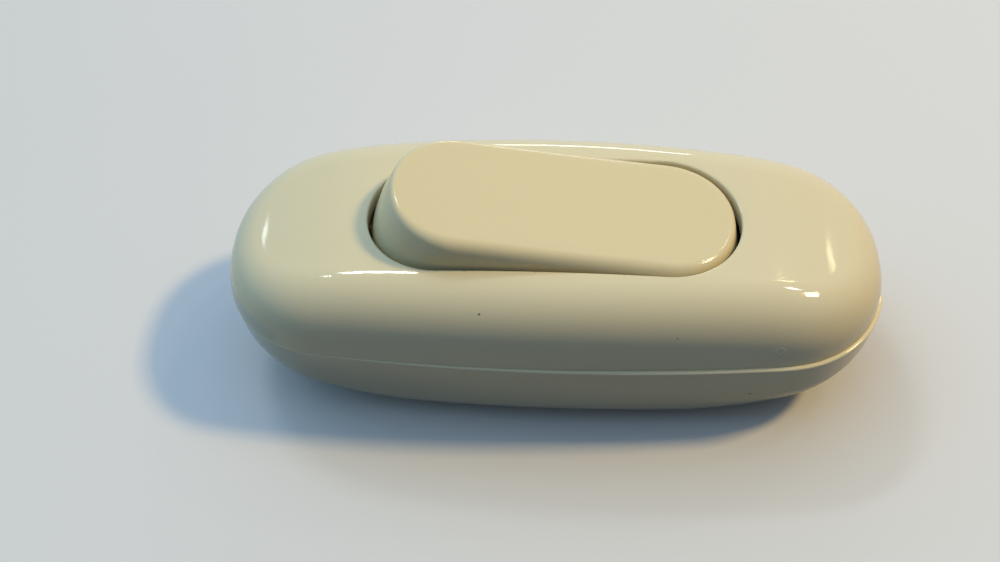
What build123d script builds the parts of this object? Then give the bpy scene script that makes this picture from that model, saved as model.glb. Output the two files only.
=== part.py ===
from build123d import *

import os
from math import asin, cos, degrees, radians, sin, sqrt, tan

# Inline cord switch: two-pole rocker switch in a rounded two-shell housing.
# Frame: +X along the cord, +Z up, origin at the centre of the flat underside.
# The rocker is modelled as it rests, with its -X end raised.

# ---- housing, outside ----
body_length = 88.0
body_width = 35.0
seam_height = 13.8
crown_height = 24.6
side_bow_r = 290.0
end_bow_trim = 1.2
corner_trim = 3.3
seam_step = 0.35
base_draft = 5.0
base_roll_r = 6.5
keel_run = 28.0
keel_end_r = 48.0
keel_turn = 42.0
cover_draft = 2.5
cover_roll_r = 6.5
crown_r = 330.0
crown_run = 21.0
crown_end_r = 68.0
crown_turn = 24.0
rim_edge_r = 0.22
wall = 2.2

# ---- seam tongue inside the base wall ----
tongue_depth = 1.3
tongue_thickness = 0.9
tongue_clearance = 0.15

# ---- rocker ----
opening_length = 48.2
opening_width = 19.5
opening_edge_r = 0.3
pivot_height = 16.8
rocker_tilt = 7.9
rocker_side_gap = 0.4
rocker_end_lap = 0.1
rocker_top = 9.9
rocker_dish = 0.45
rocker_skirt = 2.6
rocker_wall = 1.7
rocker_plate = 2.0
rocker_edge_r = 1.25
trunnion_r = 2.0
trunnion_short = 0.25
running_clearance = 0.06

# ---- plungers and springs in the rocker ----
pole_pitch = 10.6
guide_r = 2.55
guide_drop = 2.5
plunger_r = 1.6
plunger_clearance = 0.08
plunger_reach = 6.5
plunger_shoulder = 0.5
spigot_r = 0.75
spigot_length = 1.8
spring_mean_r = 1.2
spring_wire_r = 0.2
spring_turns = 6

# ---- see-saw contact bridges ----
fulcrum_height = 8.75
fulcrum_r = 0.5
bridge_tilt = 10.0
bridge_length = 16.4
bridge_width = 4.2
bridge_thickness = 0.8
bridge_gap = 0.3
bridge_end_r = 1.6
ear_thickness = 0.45
ear_length = 3.2
ear_drop = 1.2
ear_clearance = 0.15
contact_arm = 7.0
contact_r = 1.35
contact_dome_r = 4.0
contact_thickness = 0.7
contact_shank_r = 0.7
contact_tail_r = 1.05
contact_tail = 0.3
contact_gap = 0.04
fixed_contact_r = 1.7
fixed_contact_height = 0.6

# ---- contact carrier ----
carrier_bottom = 3.4
carrier_thickness = 2.2
carrier_end_margin = 0.4
carrier_width = 17.4
carrier_corner_r = 5.0
wing_length = 16.0
wing_margin = 0.3
post_length = 8.4
post_thickness = 2.4
post_gap = 0.85
saddle_side_clearance = 0.1
partition_thickness = 0.65
partition_reach = 24.5
partition_start = 12.6
stop_gap = 0.3
stop_inset = 0.4
peg_r = 1.2
peg_spacing = 20.0
peg_clearance = 0.1
peg_blind = 0.3
support_length = 3.0
support_spacing = 40.0

# ---- terminals ----
block_length = 7.6
block_width = 4.3
block_height = 4.8
block_centre = 19.4
wire_hole_r = 1.35
wire_hole_rise = 2.1
wire_hole_depth = 6.1
tongue_plate = 0.8
tongue_plate_width = 3.4
earth_bar_height = 2.4
terminal_screw_r = 1.25
terminal_screw_bite = 0.4
terminal_screw_rise = 0.7
driver_slot = 0.5
driver_slot_depth = 0.5

# ---- cord inlets and clamps ----
inlet_r = 3.6
inlet_mouth = 0.6
collar_wall = 1.5
collar_depth = 6.6
clamp_setback = 11.0
clamp_length = 5.0
clamp_ear = 2.6
clamp_foot = 2.4
clamp_arch_wall = 1.3
clamp_edge_r = 0.5
clamp_screw_gap = 3.5
clamp_screw_r = 1.25
clamp_screw_depth = 7.0
clamp_screw_bite = 6.0
clamp_head_r = 2.2
clamp_head_height = 1.5
saddle_margin = 0.6

# ---- housing screws ----
boss_setback = 16.6
boss_y = 8.8
boss_r = 2.9
screw_r = 1.45
screw_clearance = 0.2
head_r = 2.8
head_height = 1.6
head_rim = 2.6
head_recess_r = 3.1
seat_pad_r = 3.75
seat_pad_top = 5.4
screw_bite = 6.4
screw_tip_room = 0.6
thread_clearance = 0.02
cross_slot = 0.7
cross_slot_depth = 1.0
cross_slot_length = 3.6

# ---- worked out from the sizes above ----
end_bow_r = body_width / 2 - end_bow_trim
corner_r = end_bow_r - corner_trim
keel_flat = body_length - 2 * keel_run
crown_flat = body_length - 2 * crown_run
rocker_width = opening_width - 2 * rocker_side_gap
rocker_swing_r = opening_length / 2 + rocker_end_lap
post_offset = rocker_width / 2 + post_gap + post_thickness / 2
trunnion_length = post_gap + post_thickness - trunnion_short
carrier_length = 2 * (partition_reach + carrier_end_margin)
wing_width = 2 * post_offset + post_thickness + 2 * wing_margin
collar_start = body_length / 2 - collar_depth
clamp_centre = body_length / 2 - clamp_setback
clamp_screw_spacing = 2 * (inlet_r + clamp_screw_gap)
clamp_width = clamp_screw_spacing + 2 * clamp_ear
saddle_width = clamp_width + 2 * saddle_margin
boss_x = body_length / 2 - boss_setback
pole_y = pole_pitch / 2
carrier_top = carrier_bottom + carrier_thickness
swing = radians(rocker_tilt)
sway = radians(bridge_tilt)
rim_centre = rocker_swing_r - rocker_width / 2
tip_drop = plunger_reach - plunger_r
tip_height = (
    tip_drop * sin(swing) * sin(sway)
    + (pivot_height - fulcrum_height - tip_drop * cos(swing)) * cos(sway)
)
bridge_top = tip_height - plunger_r - bridge_gap
bridge_under = bridge_top - bridge_thickness
dome_rise = contact_dome_r - sqrt(contact_dome_r**2 - contact_r**2)
dome_centre = bridge_under - contact_thickness + contact_dome_r
touch_height = (
    fulcrum_height
    - contact_arm * sin(sway)
    + dome_centre * cos(sway)
    - contact_dome_r
)
touch_x = -contact_arm * cos(sway) - dome_centre * sin(sway)
fixed_contact_top = touch_height - contact_gap
stop_height = (
    pivot_height
    - (partition_reach - stop_inset) * sin(swing)
    - rocker_skirt * cos(swing)
    - stop_gap
)
block_top = carrier_top + block_height
fulcrum_width = bridge_width - 2 * (ear_thickness + ear_clearance)

rocker_x = (cos(swing), 0, -sin(swing))
rocker_z = (sin(swing), 0, cos(swing))
pivot = (0, 0, pivot_height)
rocker_plane = Plane(origin=pivot, x_dir=rocker_x, z_dir=rocker_z)
rocker_side = Plane(origin=pivot, x_dir=rocker_x, z_dir=(0, -1, 0))


def bridge_plane(y):
    """Plane of one contact bridge through the top of its fulcrum."""
    return Plane(
        origin=(0, y, fulcrum_height),
        x_dir=(cos(sway), 0, sin(sway)),
        z_dir=(-sin(sway), 0, cos(sway)),
    )


def plan(plane, inset):
    """Housing outline: bowed sides and ends with soft corners."""
    side_r = side_bow_r - inset
    end_r = end_bow_r - inset
    side_centre = side_bow_r - body_width / 2
    end_centre = body_length / 2 - end_bow_r
    with BuildSketch(plane) as outline:
        Rectangle(body_length, body_width)
        for side in (-1, 1):
            with Locations((0, side * side_centre)):
                Circle(side_r, mode=Mode.INTERSECT)
        with BuildSketch(mode=Mode.PRIVATE) as ends:
            Rectangle(2 * end_centre, body_width)
            with Locations((-end_centre, 0), (end_centre, 0)):
                Circle(end_r)
        add(ends.sketch, mode=Mode.INTERSECT)
        fillet(outline.vertices(), corner_r - inset)
    return outline.sketch


def lengthwise_profile(start_height, flat, middle_r, end_r, turn, foot):
    """Side view of a form: a long middle stretch that turns away at both ends."""
    way = 1 if turn > 0 else -1
    with BuildSketch(Plane.XZ.offset(-body_width)) as profile:
        with BuildLine():
            if middle_r:
                bend = degrees(asin(flat / 2 / middle_r))
                middle = JernArc((0, start_height), (1, 0), middle_r, way * bend)
            else:
                middle = Line((0, start_height), (flat / 2, start_height))
            end = JernArc(middle @ 1, middle % 1, end_r, turn)
            Polyline(end @ 1, ((end @ 1).X, foot), (0, foot))
            mirror(about=Plane.YZ)
        make_face()
    return profile.sketch


def rolled_edges(form):
    """Edges where the crown or the keel meets the drafted wall."""
    far_faces = form.faces().filter_by(
        lambda face: abs(face.bounding_box().min.Z - seam_height) > 0.01
        and abs(face.bounding_box().max.Z - seam_height) > 0.01
    )
    return far_faces.edges().filter_by(Axis.Y, reverse=True)


def cover_form(inset):
    """Solid form of the cover, inset all over by the given distance."""
    lean = (crown_height - seam_height) * tan(radians(cover_draft))
    crown = lengthwise_profile(
        crown_height - inset,
        crown_flat,
        crown_r - inset,
        crown_end_r - inset,
        -crown_turn,
        seam_height - wall,
    )
    with BuildPart() as form:
        add(plan(Plane.XY.offset(seam_height), seam_step + inset))
        add(plan(Plane.XY.offset(crown_height), seam_step + inset + lean))
        loft(ruled=True)
        extrude(crown, amount=2 * body_width, mode=Mode.INTERSECT)
        fillet(rolled_edges(form), cover_roll_r - inset)
    return form.part


def base_form(inset):
    """Solid form of the base, inset all over by the given distance."""
    lean = seam_height * tan(radians(base_draft))
    keel = lengthwise_profile(
        inset, keel_flat, 0, keel_end_r - inset, keel_turn, seam_height + wall
    )
    with BuildPart() as form:
        add(plan(Plane.XY, inset + lean))
        add(plan(Plane.XY.offset(seam_height), inset))
        loft(ruled=True)
        extrude(keel, amount=2 * body_width, mode=Mode.INTERSECT)
        fillet(rolled_edges(form), base_roll_r - inset)
    return form.part


def inlet_cylinder(radius, start, end):
    """Pair of cylinders on the cord's axis, one at each end of the housing."""
    with BuildPart() as pair:
        for side in (-1, 1):
            with BuildSketch(Plane((side * start, 0, seam_height), z_dir=(side, 0, 0))):
                Circle(radius)
            extrude(amount=end - start)
    return pair.part


def inlet_bore():
    """Pair of cord holes through clamps, collars and end walls, with flared mouths."""
    reach = body_length / 2
    with BuildPart() as bore:
        add(inlet_cylinder(inlet_r, clamp_centre - clamp_length, reach + wall))
        for side in (-1, 1):
            mouth = Plane((side * reach, 0, seam_height), z_dir=(-side, 0, 0))
            with BuildSketch(mouth):
                Circle(inlet_r + inlet_mouth)
            extrude(amount=inlet_mouth * 2, taper=45)
    return bore.part


def boss_places():
    """Places of the two housing screws, on one diagonal of the plan."""
    return Locations((boss_x, -boss_y), (-boss_x, boss_y))


def post_sketch(plane, length, thickness):
    """Footprints of the two rocker bearings, one on each side of the opening."""
    with BuildSketch(plane) as feet:
        with GridLocations(0, 2 * post_offset, 1, 2):
            Rectangle(length, thickness)
    return feet.sketch


def bearing_cut(foot):
    """Pair of upright slots with a round top that fit the rocker's trunnions."""
    radius = trunnion_r + running_clearance
    with BuildPart() as slots:
        with BuildSketch(Plane.XZ.offset(-post_offset - post_thickness)):
            with Locations((0, pivot_height)):
                Circle(radius)
            if foot < pivot_height:
                with Locations((0, foot)):
                    Rectangle(2 * radius, pivot_height - foot, align=(Align.CENTER, Align.MIN))
        extrude(amount=2 * post_thickness)
        mirror(about=Plane.XZ)
    return slots.part


# ---- base shell ----
with BuildPart() as base_body:
    add(base_form(0))
    fillet(base_body.faces().sort_by(Axis.Z)[-1].edges(), rim_edge_r)

with BuildPart() as base_shell:
    add(base_body.part)
    add(base_form(wall), mode=Mode.SUBTRACT)
    floor = Plane.XY.offset(wall / 2)
    with BuildSketch(floor):
        with GridLocations(support_spacing, 0, 2, 1):
            Rectangle(support_length, carrier_width)
    extrude(amount=carrier_bottom - wall / 2)
    with BuildSketch(floor):
        with boss_places():
            Circle(seat_pad_r)
    extrude(amount=seat_pad_top - wall / 2)
    with BuildSketch(floor):
        with GridLocations(2 * clamp_centre, 0, 2, 1):
            Rectangle(clamp_length, saddle_width)
        with boss_places():
            Circle(boss_r)
    extrude(amount=seam_height - wall / 2)
    with BuildSketch(floor):
        with GridLocations(peg_spacing, 0, 2, 1):
            Circle(peg_r)
    extrude(amount=carrier_top - peg_blind - wall / 2)
    add(inlet_cylinder(inlet_r + collar_wall, collar_start, body_length / 2))
    add(base_body.part, mode=Mode.INTERSECT)
    with BuildSketch(Plane.XY.offset(seam_height)):
        add(plan(Plane.XY, wall - tongue_thickness))
        add(plan(Plane.XY, seam_step + wall + tongue_clearance), mode=Mode.SUBTRACT)
    extrude(amount=-tongue_depth - tongue_clearance, mode=Mode.SUBTRACT)
    with BuildSketch(Plane.XY):
        with boss_places():
            Circle(head_recess_r)
    extrude(amount=head_rim + head_height, mode=Mode.SUBTRACT)
    with BuildSketch(Plane.XY):
        with boss_places():
            Circle(screw_r + screw_clearance)
    extrude(amount=seam_height, mode=Mode.SUBTRACT)
    with BuildSketch(Plane.XY.offset(seam_height)):
        with GridLocations(2 * clamp_centre, clamp_screw_spacing, 2, 2):
            Circle(clamp_screw_r + thread_clearance)
    extrude(amount=-clamp_screw_depth, mode=Mode.SUBTRACT)
    add(inlet_bore(), mode=Mode.SUBTRACT)
base_shell.part.label = "base_shell"

# ---- cover shell ----
cover_body = cover_form(0)

with BuildPart() as cover_shell:
    add(cover_body)
    add(cover_form(wall), mode=Mode.SUBTRACT)
    extrude(
        post_sketch(Plane.XY.offset(seam_height), post_length, post_thickness),
        amount=crown_height - seam_height,
    )
    with BuildSketch(Plane.XY.offset(seam_height)):
        with boss_places():
            Circle(boss_r)
    extrude(amount=screw_bite + screw_tip_room + wall)
    add(inlet_cylinder(inlet_r + collar_wall, collar_start, body_length / 2))
    add(cover_body, mode=Mode.INTERSECT)
    with BuildSketch(Plane.XY.offset(seam_height)):
        add(plan(Plane.XY, wall - tongue_thickness + tongue_clearance))
        add(plan(Plane.XY, seam_step + wall), mode=Mode.SUBTRACT)
    extrude(amount=-tongue_depth)
    add(bearing_cut(seam_height), mode=Mode.SUBTRACT)
    with BuildSketch(Plane.XY.offset(seam_height)):
        with boss_places():
            Circle(screw_r + thread_clearance)
    extrude(amount=screw_bite + screw_tip_room, mode=Mode.SUBTRACT)
    add(inlet_bore(), mode=Mode.SUBTRACT)
    with BuildSketch(Plane.XY.offset(seam_height)):
        SlotOverall(opening_length, opening_width)
    extrude(amount=crown_height, mode=Mode.SUBTRACT)
    rim = cover_shell.edges(Select.LAST).filter_by(
        lambda edge: edge.bounding_box().min.Z > crown_height - wall / 2
    )
    fillet(rim, opening_edge_r)
cover_shell.part.label = "cover_shell"


# ---- rocker ----
def rocker_disc(half_width):
    """Disc about the pivot with a fully rounded rim, the swept form of the rocker."""
    with BuildPart() as disc:
        with BuildSketch(Plane.XY.offset(pivot_height)):
            with Locations((rim_centre / 2, 0)):
                Rectangle(rim_centre, 2 * half_width)
            with Locations((rim_centre, 0)):
                Circle(half_width)
        revolve(axis=Axis(pivot, (0, 1, 0)))
    return disc.part


def rocker_slab(top, bottom):
    """Side view of the rocker between its skirt and its dished top."""
    reach = rocker_swing_r + wall
    with BuildSketch(rocker_side.offset(-body_width / 2)) as slab:
        with BuildLine():
            ThreePointArc((-reach, top + rocker_dish), (0, top), (reach, top + rocker_dish))
            Polyline((-reach, top + rocker_dish), (-reach, bottom), (reach, bottom),
                     (reach, top + rocker_dish))
        make_face()
    return slab.sketch


with BuildPart() as rocker_hollow:
    add(rocker_disc(rocker_width / 2 - rocker_wall))
    extrude(
        rocker_slab(rocker_top - rocker_plate, -rocker_skirt - wall),
        amount=body_width,
        mode=Mode.INTERSECT,
    )

with BuildPart() as rocker:
    add(rocker_disc(rocker_width / 2))
    extrude(rocker_slab(rocker_top, -rocker_skirt), amount=body_width, mode=Mode.INTERSECT)
    top_face = rocker.faces().sort_by(Axis(pivot, rocker_z))[-1]
    fillet(top_face.edges(), rocker_edge_r)
    add(rocker_hollow.part, mode=Mode.SUBTRACT)
    with BuildSketch(rocker_plane.offset(-guide_drop)):
        with GridLocations(0, pole_pitch, 1, 2):
            Circle(guide_r)
    extrude(amount=guide_drop + rocker_top - rocker_plate / 2)
    with BuildSketch(rocker_plane.offset(-guide_drop)):
        with GridLocations(0, pole_pitch, 1, 2):
            Circle(plunger_r + plunger_clearance)
    extrude(amount=guide_drop + rocker_top - rocker_plate, mode=Mode.SUBTRACT)
    for side in (-1, 1):
        root = rocker_width / 2 - rocker_wall / 2
        with BuildSketch(Plane((0, side * root, pivot_height), z_dir=(0, side, 0))):
            Circle(trunnion_r)
        extrude(amount=rocker_width / 2 + trunnion_length - root)
rocker.part.label = "rocker"


# ---- plungers, springs and contact bridges, one set for each pole ----
def build_plunger(y):
    """Round-nosed plunger with a spigot that holds its spring."""
    side_view = Plane((0, y, pivot_height), rocker_x, (0, -1, 0))
    with BuildPart() as plunger:
        with BuildSketch(side_view):
            with BuildLine():
                RadiusArc((0, -plunger_reach), (plunger_r, -tip_drop), -plunger_r)
                Polyline(
                    (plunger_r, -tip_drop),
                    (plunger_r, plunger_shoulder),
                    (spigot_r, plunger_shoulder),
                    (spigot_r, plunger_shoulder + spigot_length),
                    (0, plunger_shoulder + spigot_length),
                    (0, -plunger_reach),
                )
            make_face()
        revolve(axis=Axis((0, y, pivot_height), rocker_z))
    return plunger.part


def build_spring(y):
    """Coil spring between the plunger's shoulder and the rocker's top plate."""
    start = plunger_shoulder + spring_wire_r + thread_clearance
    height = rocker_top - rocker_plate - start - spring_wire_r - thread_clearance
    seat = Plane((0, y, pivot_height), rocker_x, rocker_z).offset(start)
    with BuildPart() as spring:
        with BuildLine() as coil:
            Helix(height / spring_turns, height, spring_mean_r, seat.origin, rocker_z)
        with BuildSketch(Plane(coil.line @ 0, z_dir=coil.line % 0)):
            Circle(spring_wire_r)
        sweep(path=coil.line)
    return spring.part


def build_bridge(y):
    """See-saw strip with two ears that straddle the fulcrum."""
    seat = bridge_plane(y)
    ear_centre = bridge_width / 2 - ear_thickness / 2
    with BuildPart() as bridge:
        with BuildSketch(seat.offset(bridge_under)):
            Rectangle(bridge_length, bridge_width)
        extrude(amount=bridge_thickness)
        fillet(bridge.edges().filter_by(Axis(seat.origin, seat.z_dir)), bridge_end_r)
        with BuildSketch(seat.offset(bridge_under)):
            with GridLocations(0, 2 * ear_centre, 1, 2):
                Rectangle(ear_length, ear_thickness)
        extrude(amount=-bridge_under - ear_drop)
        with BuildSketch(seat.offset(bridge_under)):
            with Locations((-contact_arm, 0)):
                Circle(contact_shank_r)
        extrude(amount=bridge_thickness, mode=Mode.SUBTRACT)
    return bridge.part


def build_bridge_contact(y):
    """Contact rivet with a domed face below the strip and a tail above it."""
    seat = bridge_plane(y)
    face = bridge_under - contact_thickness
    arm_end = seat.from_local_coords(Vector(-contact_arm, 0, 0))
    side_view = Plane(arm_end, seat.x_dir, (0, -1, 0))
    with BuildPart() as contact:
        with BuildSketch(side_view):
            with BuildLine():
                RadiusArc((0, face), (contact_r, face + dome_rise), -contact_dome_r)
                Polyline(
                    (contact_r, face + dome_rise),
                    (contact_r, bridge_under),
                    (contact_shank_r, bridge_under),
                    (contact_shank_r, bridge_top),
                    (contact_tail_r, bridge_top),
                    (contact_tail_r, bridge_top + contact_tail),
                    (0, bridge_top + contact_tail),
                    (0, face),
                )
            make_face()
        revolve(axis=Axis(side_view.origin, seat.z_dir))
    return contact.part


def build_fixed_contact(y):
    """Flat contact rivet set in the line terminal's tongue."""
    with BuildPart() as contact:
        with BuildSketch(Plane.XY.offset(carrier_top)):
            with Locations((touch_x, y)):
                Circle(contact_shank_r)
        extrude(amount=fixed_contact_top - carrier_top)
        with BuildSketch(Plane.XY.offset(fixed_contact_top - fixed_contact_height)):
            with Locations((touch_x, y)):
                Circle(fixed_contact_r)
        extrude(amount=fixed_contact_height)
    return contact.part


# ---- terminals ----
def terminal_block(end, y):
    """Screw-clamp block with a wire hole from outside and a screw hole from above."""
    outer = end * (block_centre + block_length / 2)
    with BuildPart() as block:
        with BuildSketch(Plane.XY.offset(carrier_top)):
            with Locations((end * block_centre, y)):
                Rectangle(block_length, block_width)
        extrude(amount=block_height)
        with BuildSketch(Plane((outer, y, carrier_top + wire_hole_rise), z_dir=(-end, 0, 0))):
            Circle(wire_hole_r)
        extrude(amount=wire_hole_depth, mode=Mode.SUBTRACT)
        with BuildSketch(Plane.XY.offset(block_top)):
            with Locations((end * block_centre, y)):
                Circle(terminal_screw_r + thread_clearance)
        extrude(amount=-(block_height - wire_hole_rise), mode=Mode.SUBTRACT)
    return block.part


def build_line_terminal(y):
    """Terminal on the -X side whose tongue carries the fixed contact."""
    start = touch_x + fixed_contact_r
    end = -block_centre
    with BuildPart() as terminal:
        with BuildSketch(Plane.XY.offset(carrier_top)):
            with Locations(((start + end) / 2, y)):
                Rectangle(start - end, tongue_plate_width)
        extrude(amount=fixed_contact_top - fixed_contact_height - carrier_top)
        with BuildSketch(Plane.XY.offset(carrier_top)):
            with Locations((touch_x, y)):
                Circle(contact_shank_r)
        extrude(amount=block_height, mode=Mode.SUBTRACT)
        add(terminal_block(-1, y))
    return terminal.part


def build_pivot_terminal(y):
    """Terminal on the +X side whose tongue turns up into the fulcrum."""
    with BuildPart() as terminal:
        with BuildSketch(Plane.XY.offset(carrier_top)):
            with Locations((block_centre / 2, y)):
                Rectangle(block_centre, tongue_plate_width)
        extrude(amount=tongue_plate)
        with BuildSketch(Plane.XZ.offset(-y - fulcrum_width / 2)):
            with Locations((0, carrier_top)):
                Rectangle(
                    2 * fulcrum_r,
                    fulcrum_height - carrier_top,
                    align=(Align.CENTER, Align.MIN),
                )
            with Locations((0, fulcrum_height)):
                Circle(fulcrum_r)
        extrude(amount=fulcrum_width)
        add(terminal_block(1, y))
    return terminal.part


with BuildPart() as earth_terminal:
    with BuildSketch(Plane.XY.offset(carrier_top)):
        Rectangle(2 * block_centre, block_width)
    extrude(amount=earth_bar_height)
    for end in (-1, 1):
        add(terminal_block(end, 0))
earth_terminal.part.label = "earth_terminal"

with BuildPart() as terminal_screws:
    with BuildSketch(Plane.XY.offset(carrier_top + wire_hole_rise + terminal_screw_bite)):
        with GridLocations(2 * block_centre, pole_y, 2, 3):
            Circle(terminal_screw_r)
    extrude(amount=block_height - wire_hole_rise - terminal_screw_bite + terminal_screw_rise)
    with BuildSketch(Plane.XY.offset(block_top + terminal_screw_rise)):
        with GridLocations(2 * block_centre, pole_y, 2, 3):
            Rectangle(driver_slot, 2 * terminal_screw_r)
    extrude(amount=-driver_slot_depth, mode=Mode.SUBTRACT)
terminal_screws.part.label = "terminal_screws"

# ---- contact carrier ----
with BuildPart() as contact_carrier:
    with BuildSketch(Plane.XY.offset(carrier_bottom)):
        RectangleRounded(carrier_length, carrier_width, carrier_corner_r)
        Rectangle(wing_length, wing_width)
        with GridLocations(peg_spacing, 0, 2, 1):
            Circle(peg_r + peg_clearance, mode=Mode.SUBTRACT)
    extrude(amount=carrier_thickness)
    extrude(
        post_sketch(Plane.XY.offset(carrier_top), post_length, post_thickness),
        amount=seam_height - carrier_top,
    )
    saddle_length = 2 * (trunnion_r + running_clearance - saddle_side_clearance)
    extrude(
        post_sketch(Plane.XY.offset(seam_height), saddle_length, post_thickness),
        amount=pivot_height - seam_height,
    )
    add(bearing_cut(pivot_height), mode=Mode.SUBTRACT)
    partition_length = partition_reach - partition_start
    with BuildSketch(Plane.XY.offset(carrier_top)):
        with GridLocations(partition_reach + partition_start, pole_y, 2, 2):
            Rectangle(partition_length, partition_thickness)
    extrude(amount=stop_height - carrier_top)
contact_carrier.part.label = "contact_carrier"


# ---- cord clamps ----
def build_clamp(end):
    """Clamp bar arched over the cord, with a foot and a screw hole on each side."""
    near = clamp_centre - clamp_length / 2
    with BuildPart() as clamp:
        with BuildSketch(Plane((end * near, 0, seam_height), (0, end, 0), (end, 0, 0))):
            Rectangle(clamp_width, clamp_foot, align=(Align.CENTER, Align.MIN))
            Circle(inlet_r + clamp_arch_wall)
            Rectangle(
                clamp_width, clamp_width, align=(Align.CENTER, Align.MAX), mode=Mode.SUBTRACT
            )
            Circle(inlet_r, mode=Mode.SUBTRACT)
        extrude(amount=clamp_length)
        outer_corners = clamp.edges().filter_by(Axis.Z).filter_by(
            lambda edge: abs(edge.center().Y) > clamp_width / 2 - 0.01
        )
        fillet(outer_corners, clamp_edge_r)
        with BuildSketch(Plane.XY.offset(seam_height)):
            with Locations((end * clamp_centre, 0)):
                with GridLocations(0, clamp_screw_spacing, 1, 2):
                    Circle(clamp_screw_r + screw_clearance)
        extrude(amount=clamp_foot, mode=Mode.SUBTRACT)
    return clamp.part


with BuildPart() as clamp_screws:
    with BuildSketch(Plane.XY.offset(seam_height - clamp_screw_bite)):
        with GridLocations(2 * clamp_centre, clamp_screw_spacing, 2, 2):
            Circle(clamp_screw_r)
    extrude(amount=clamp_screw_bite + clamp_foot)
    with BuildSketch(Plane.XY.offset(seam_height + clamp_foot)):
        with GridLocations(2 * clamp_centre, clamp_screw_spacing, 2, 2):
            Circle(clamp_head_r)
    extrude(amount=clamp_head_height)
    with BuildSketch(Plane.XY.offset(seam_height + clamp_foot + clamp_head_height)):
        with GridLocations(2 * clamp_centre, clamp_screw_spacing, 2, 2):
            Rectangle(2 * clamp_head_r, driver_slot)
    extrude(amount=-driver_slot_depth, mode=Mode.SUBTRACT)
clamp_screws.part.label = "clamp_screws"

# ---- housing screws, driven from below ----
with BuildPart() as housing_screws:
    with BuildSketch(Plane.XY.offset(head_rim)):
        with boss_places():
            Circle(head_r)
    extrude(amount=head_height)
    with BuildSketch(Plane.XY.offset(head_rim)):
        with boss_places():
            Circle(screw_r)
    extrude(amount=seam_height + screw_bite - head_rim)
    with BuildSketch(Plane.XY.offset(head_rim)):
        with boss_places():
            Rectangle(cross_slot_length, cross_slot)
            Rectangle(cross_slot, cross_slot_length)
    extrude(amount=cross_slot_depth, mode=Mode.SUBTRACT)
housing_screws.part.label = "housing_screws"

# ---- naming and writing ----
pieces = [
    base_shell.part,
    cover_shell.part,
    rocker.part,
    contact_carrier.part,
    earth_terminal.part,
    terminal_screws.part,
    clamp_screws.part,
    housing_screws.part,
]
pole_builders = {
    "plunger": build_plunger,
    "plunger_spring": build_spring,
    "contact_bridge": build_bridge,
    "bridge_contact": build_bridge_contact,
    "fixed_contact": build_fixed_contact,
    "line_terminal": build_line_terminal,
    "pivot_terminal": build_pivot_terminal,
}
for side_name, y in (("front", -pole_y), ("rear", pole_y)):
    for piece_name, build in pole_builders.items():
        piece = build(y)
        piece.label = f"{piece_name}_{side_name}"
        pieces.append(piece)
for end_name, end in (("left", -1), ("right", 1)):
    clamp = build_clamp(end)
    clamp.label = f"cord_clamp_{end_name}"
    pieces.append(clamp)

os.makedirs("parts", exist_ok=True)
for piece in pieces:
    export_step(piece, f"parts/{piece.label}.step")
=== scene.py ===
"""Inline cord switch: its housing, rocker and inner parts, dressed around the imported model."""

from __future__ import annotations

import logging
import math
from dataclasses import dataclass, field, replace
from enum import Enum
from typing import Callable, Sequence, Union

import bpy
from mathutils import Matrix, Vector

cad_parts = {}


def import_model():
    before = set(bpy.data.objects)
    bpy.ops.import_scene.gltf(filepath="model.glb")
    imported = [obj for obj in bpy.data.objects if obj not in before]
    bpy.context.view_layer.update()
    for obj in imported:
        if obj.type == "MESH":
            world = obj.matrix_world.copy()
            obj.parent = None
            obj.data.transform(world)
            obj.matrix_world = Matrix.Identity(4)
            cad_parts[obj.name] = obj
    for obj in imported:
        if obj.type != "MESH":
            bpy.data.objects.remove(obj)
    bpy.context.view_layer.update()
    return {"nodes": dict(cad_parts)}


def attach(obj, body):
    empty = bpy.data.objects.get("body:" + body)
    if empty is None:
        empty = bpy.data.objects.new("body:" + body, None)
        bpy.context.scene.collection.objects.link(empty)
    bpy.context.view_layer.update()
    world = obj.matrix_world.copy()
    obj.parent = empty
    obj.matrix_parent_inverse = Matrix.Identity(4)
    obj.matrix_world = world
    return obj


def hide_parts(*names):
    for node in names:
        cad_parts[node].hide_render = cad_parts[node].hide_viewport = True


LOG = logging.getLogger("cord_switch")
MM = 0.001
MERGE_REACH = 0.000002
FULL_TURN = 2 * math.pi
QUARTER_TURN = math.pi / 2
SAME_WAY = 1e-6
MID_NOISE = (0.3, 0.7)

Piece = bpy.types.Object
Socket = bpy.types.NodeSocket
Triple = tuple[float, float, float]
Value = Union[float, Sequence[float], Socket]
Ring = list[Vector]


class Metal(Enum):
    """Metals of the inner parts, each with the name its material gets."""

    BRASS = "brass"
    ZINC_STEEL = "zinc_steel"
    SPRING_STEEL = "spring_steel"
    SILVER = "contact_silver"


class End(Enum):
    """The two ends of the housing along the cord."""

    LEFT = -1
    RIGHT = 1


class Pole(Enum):
    """The two switched conductors, front and rear."""

    FRONT = -1
    REAR = 1


# ---------------------------------------------------------------- shaders


@dataclass(frozen=True)
class Grain:
    """A noise pattern.

    Attributes:
        scale: waves per metre.
        detail: octaves.
        roughness: strength of the finer octaves.
    """

    scale: float
    detail: float
    roughness: float


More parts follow.
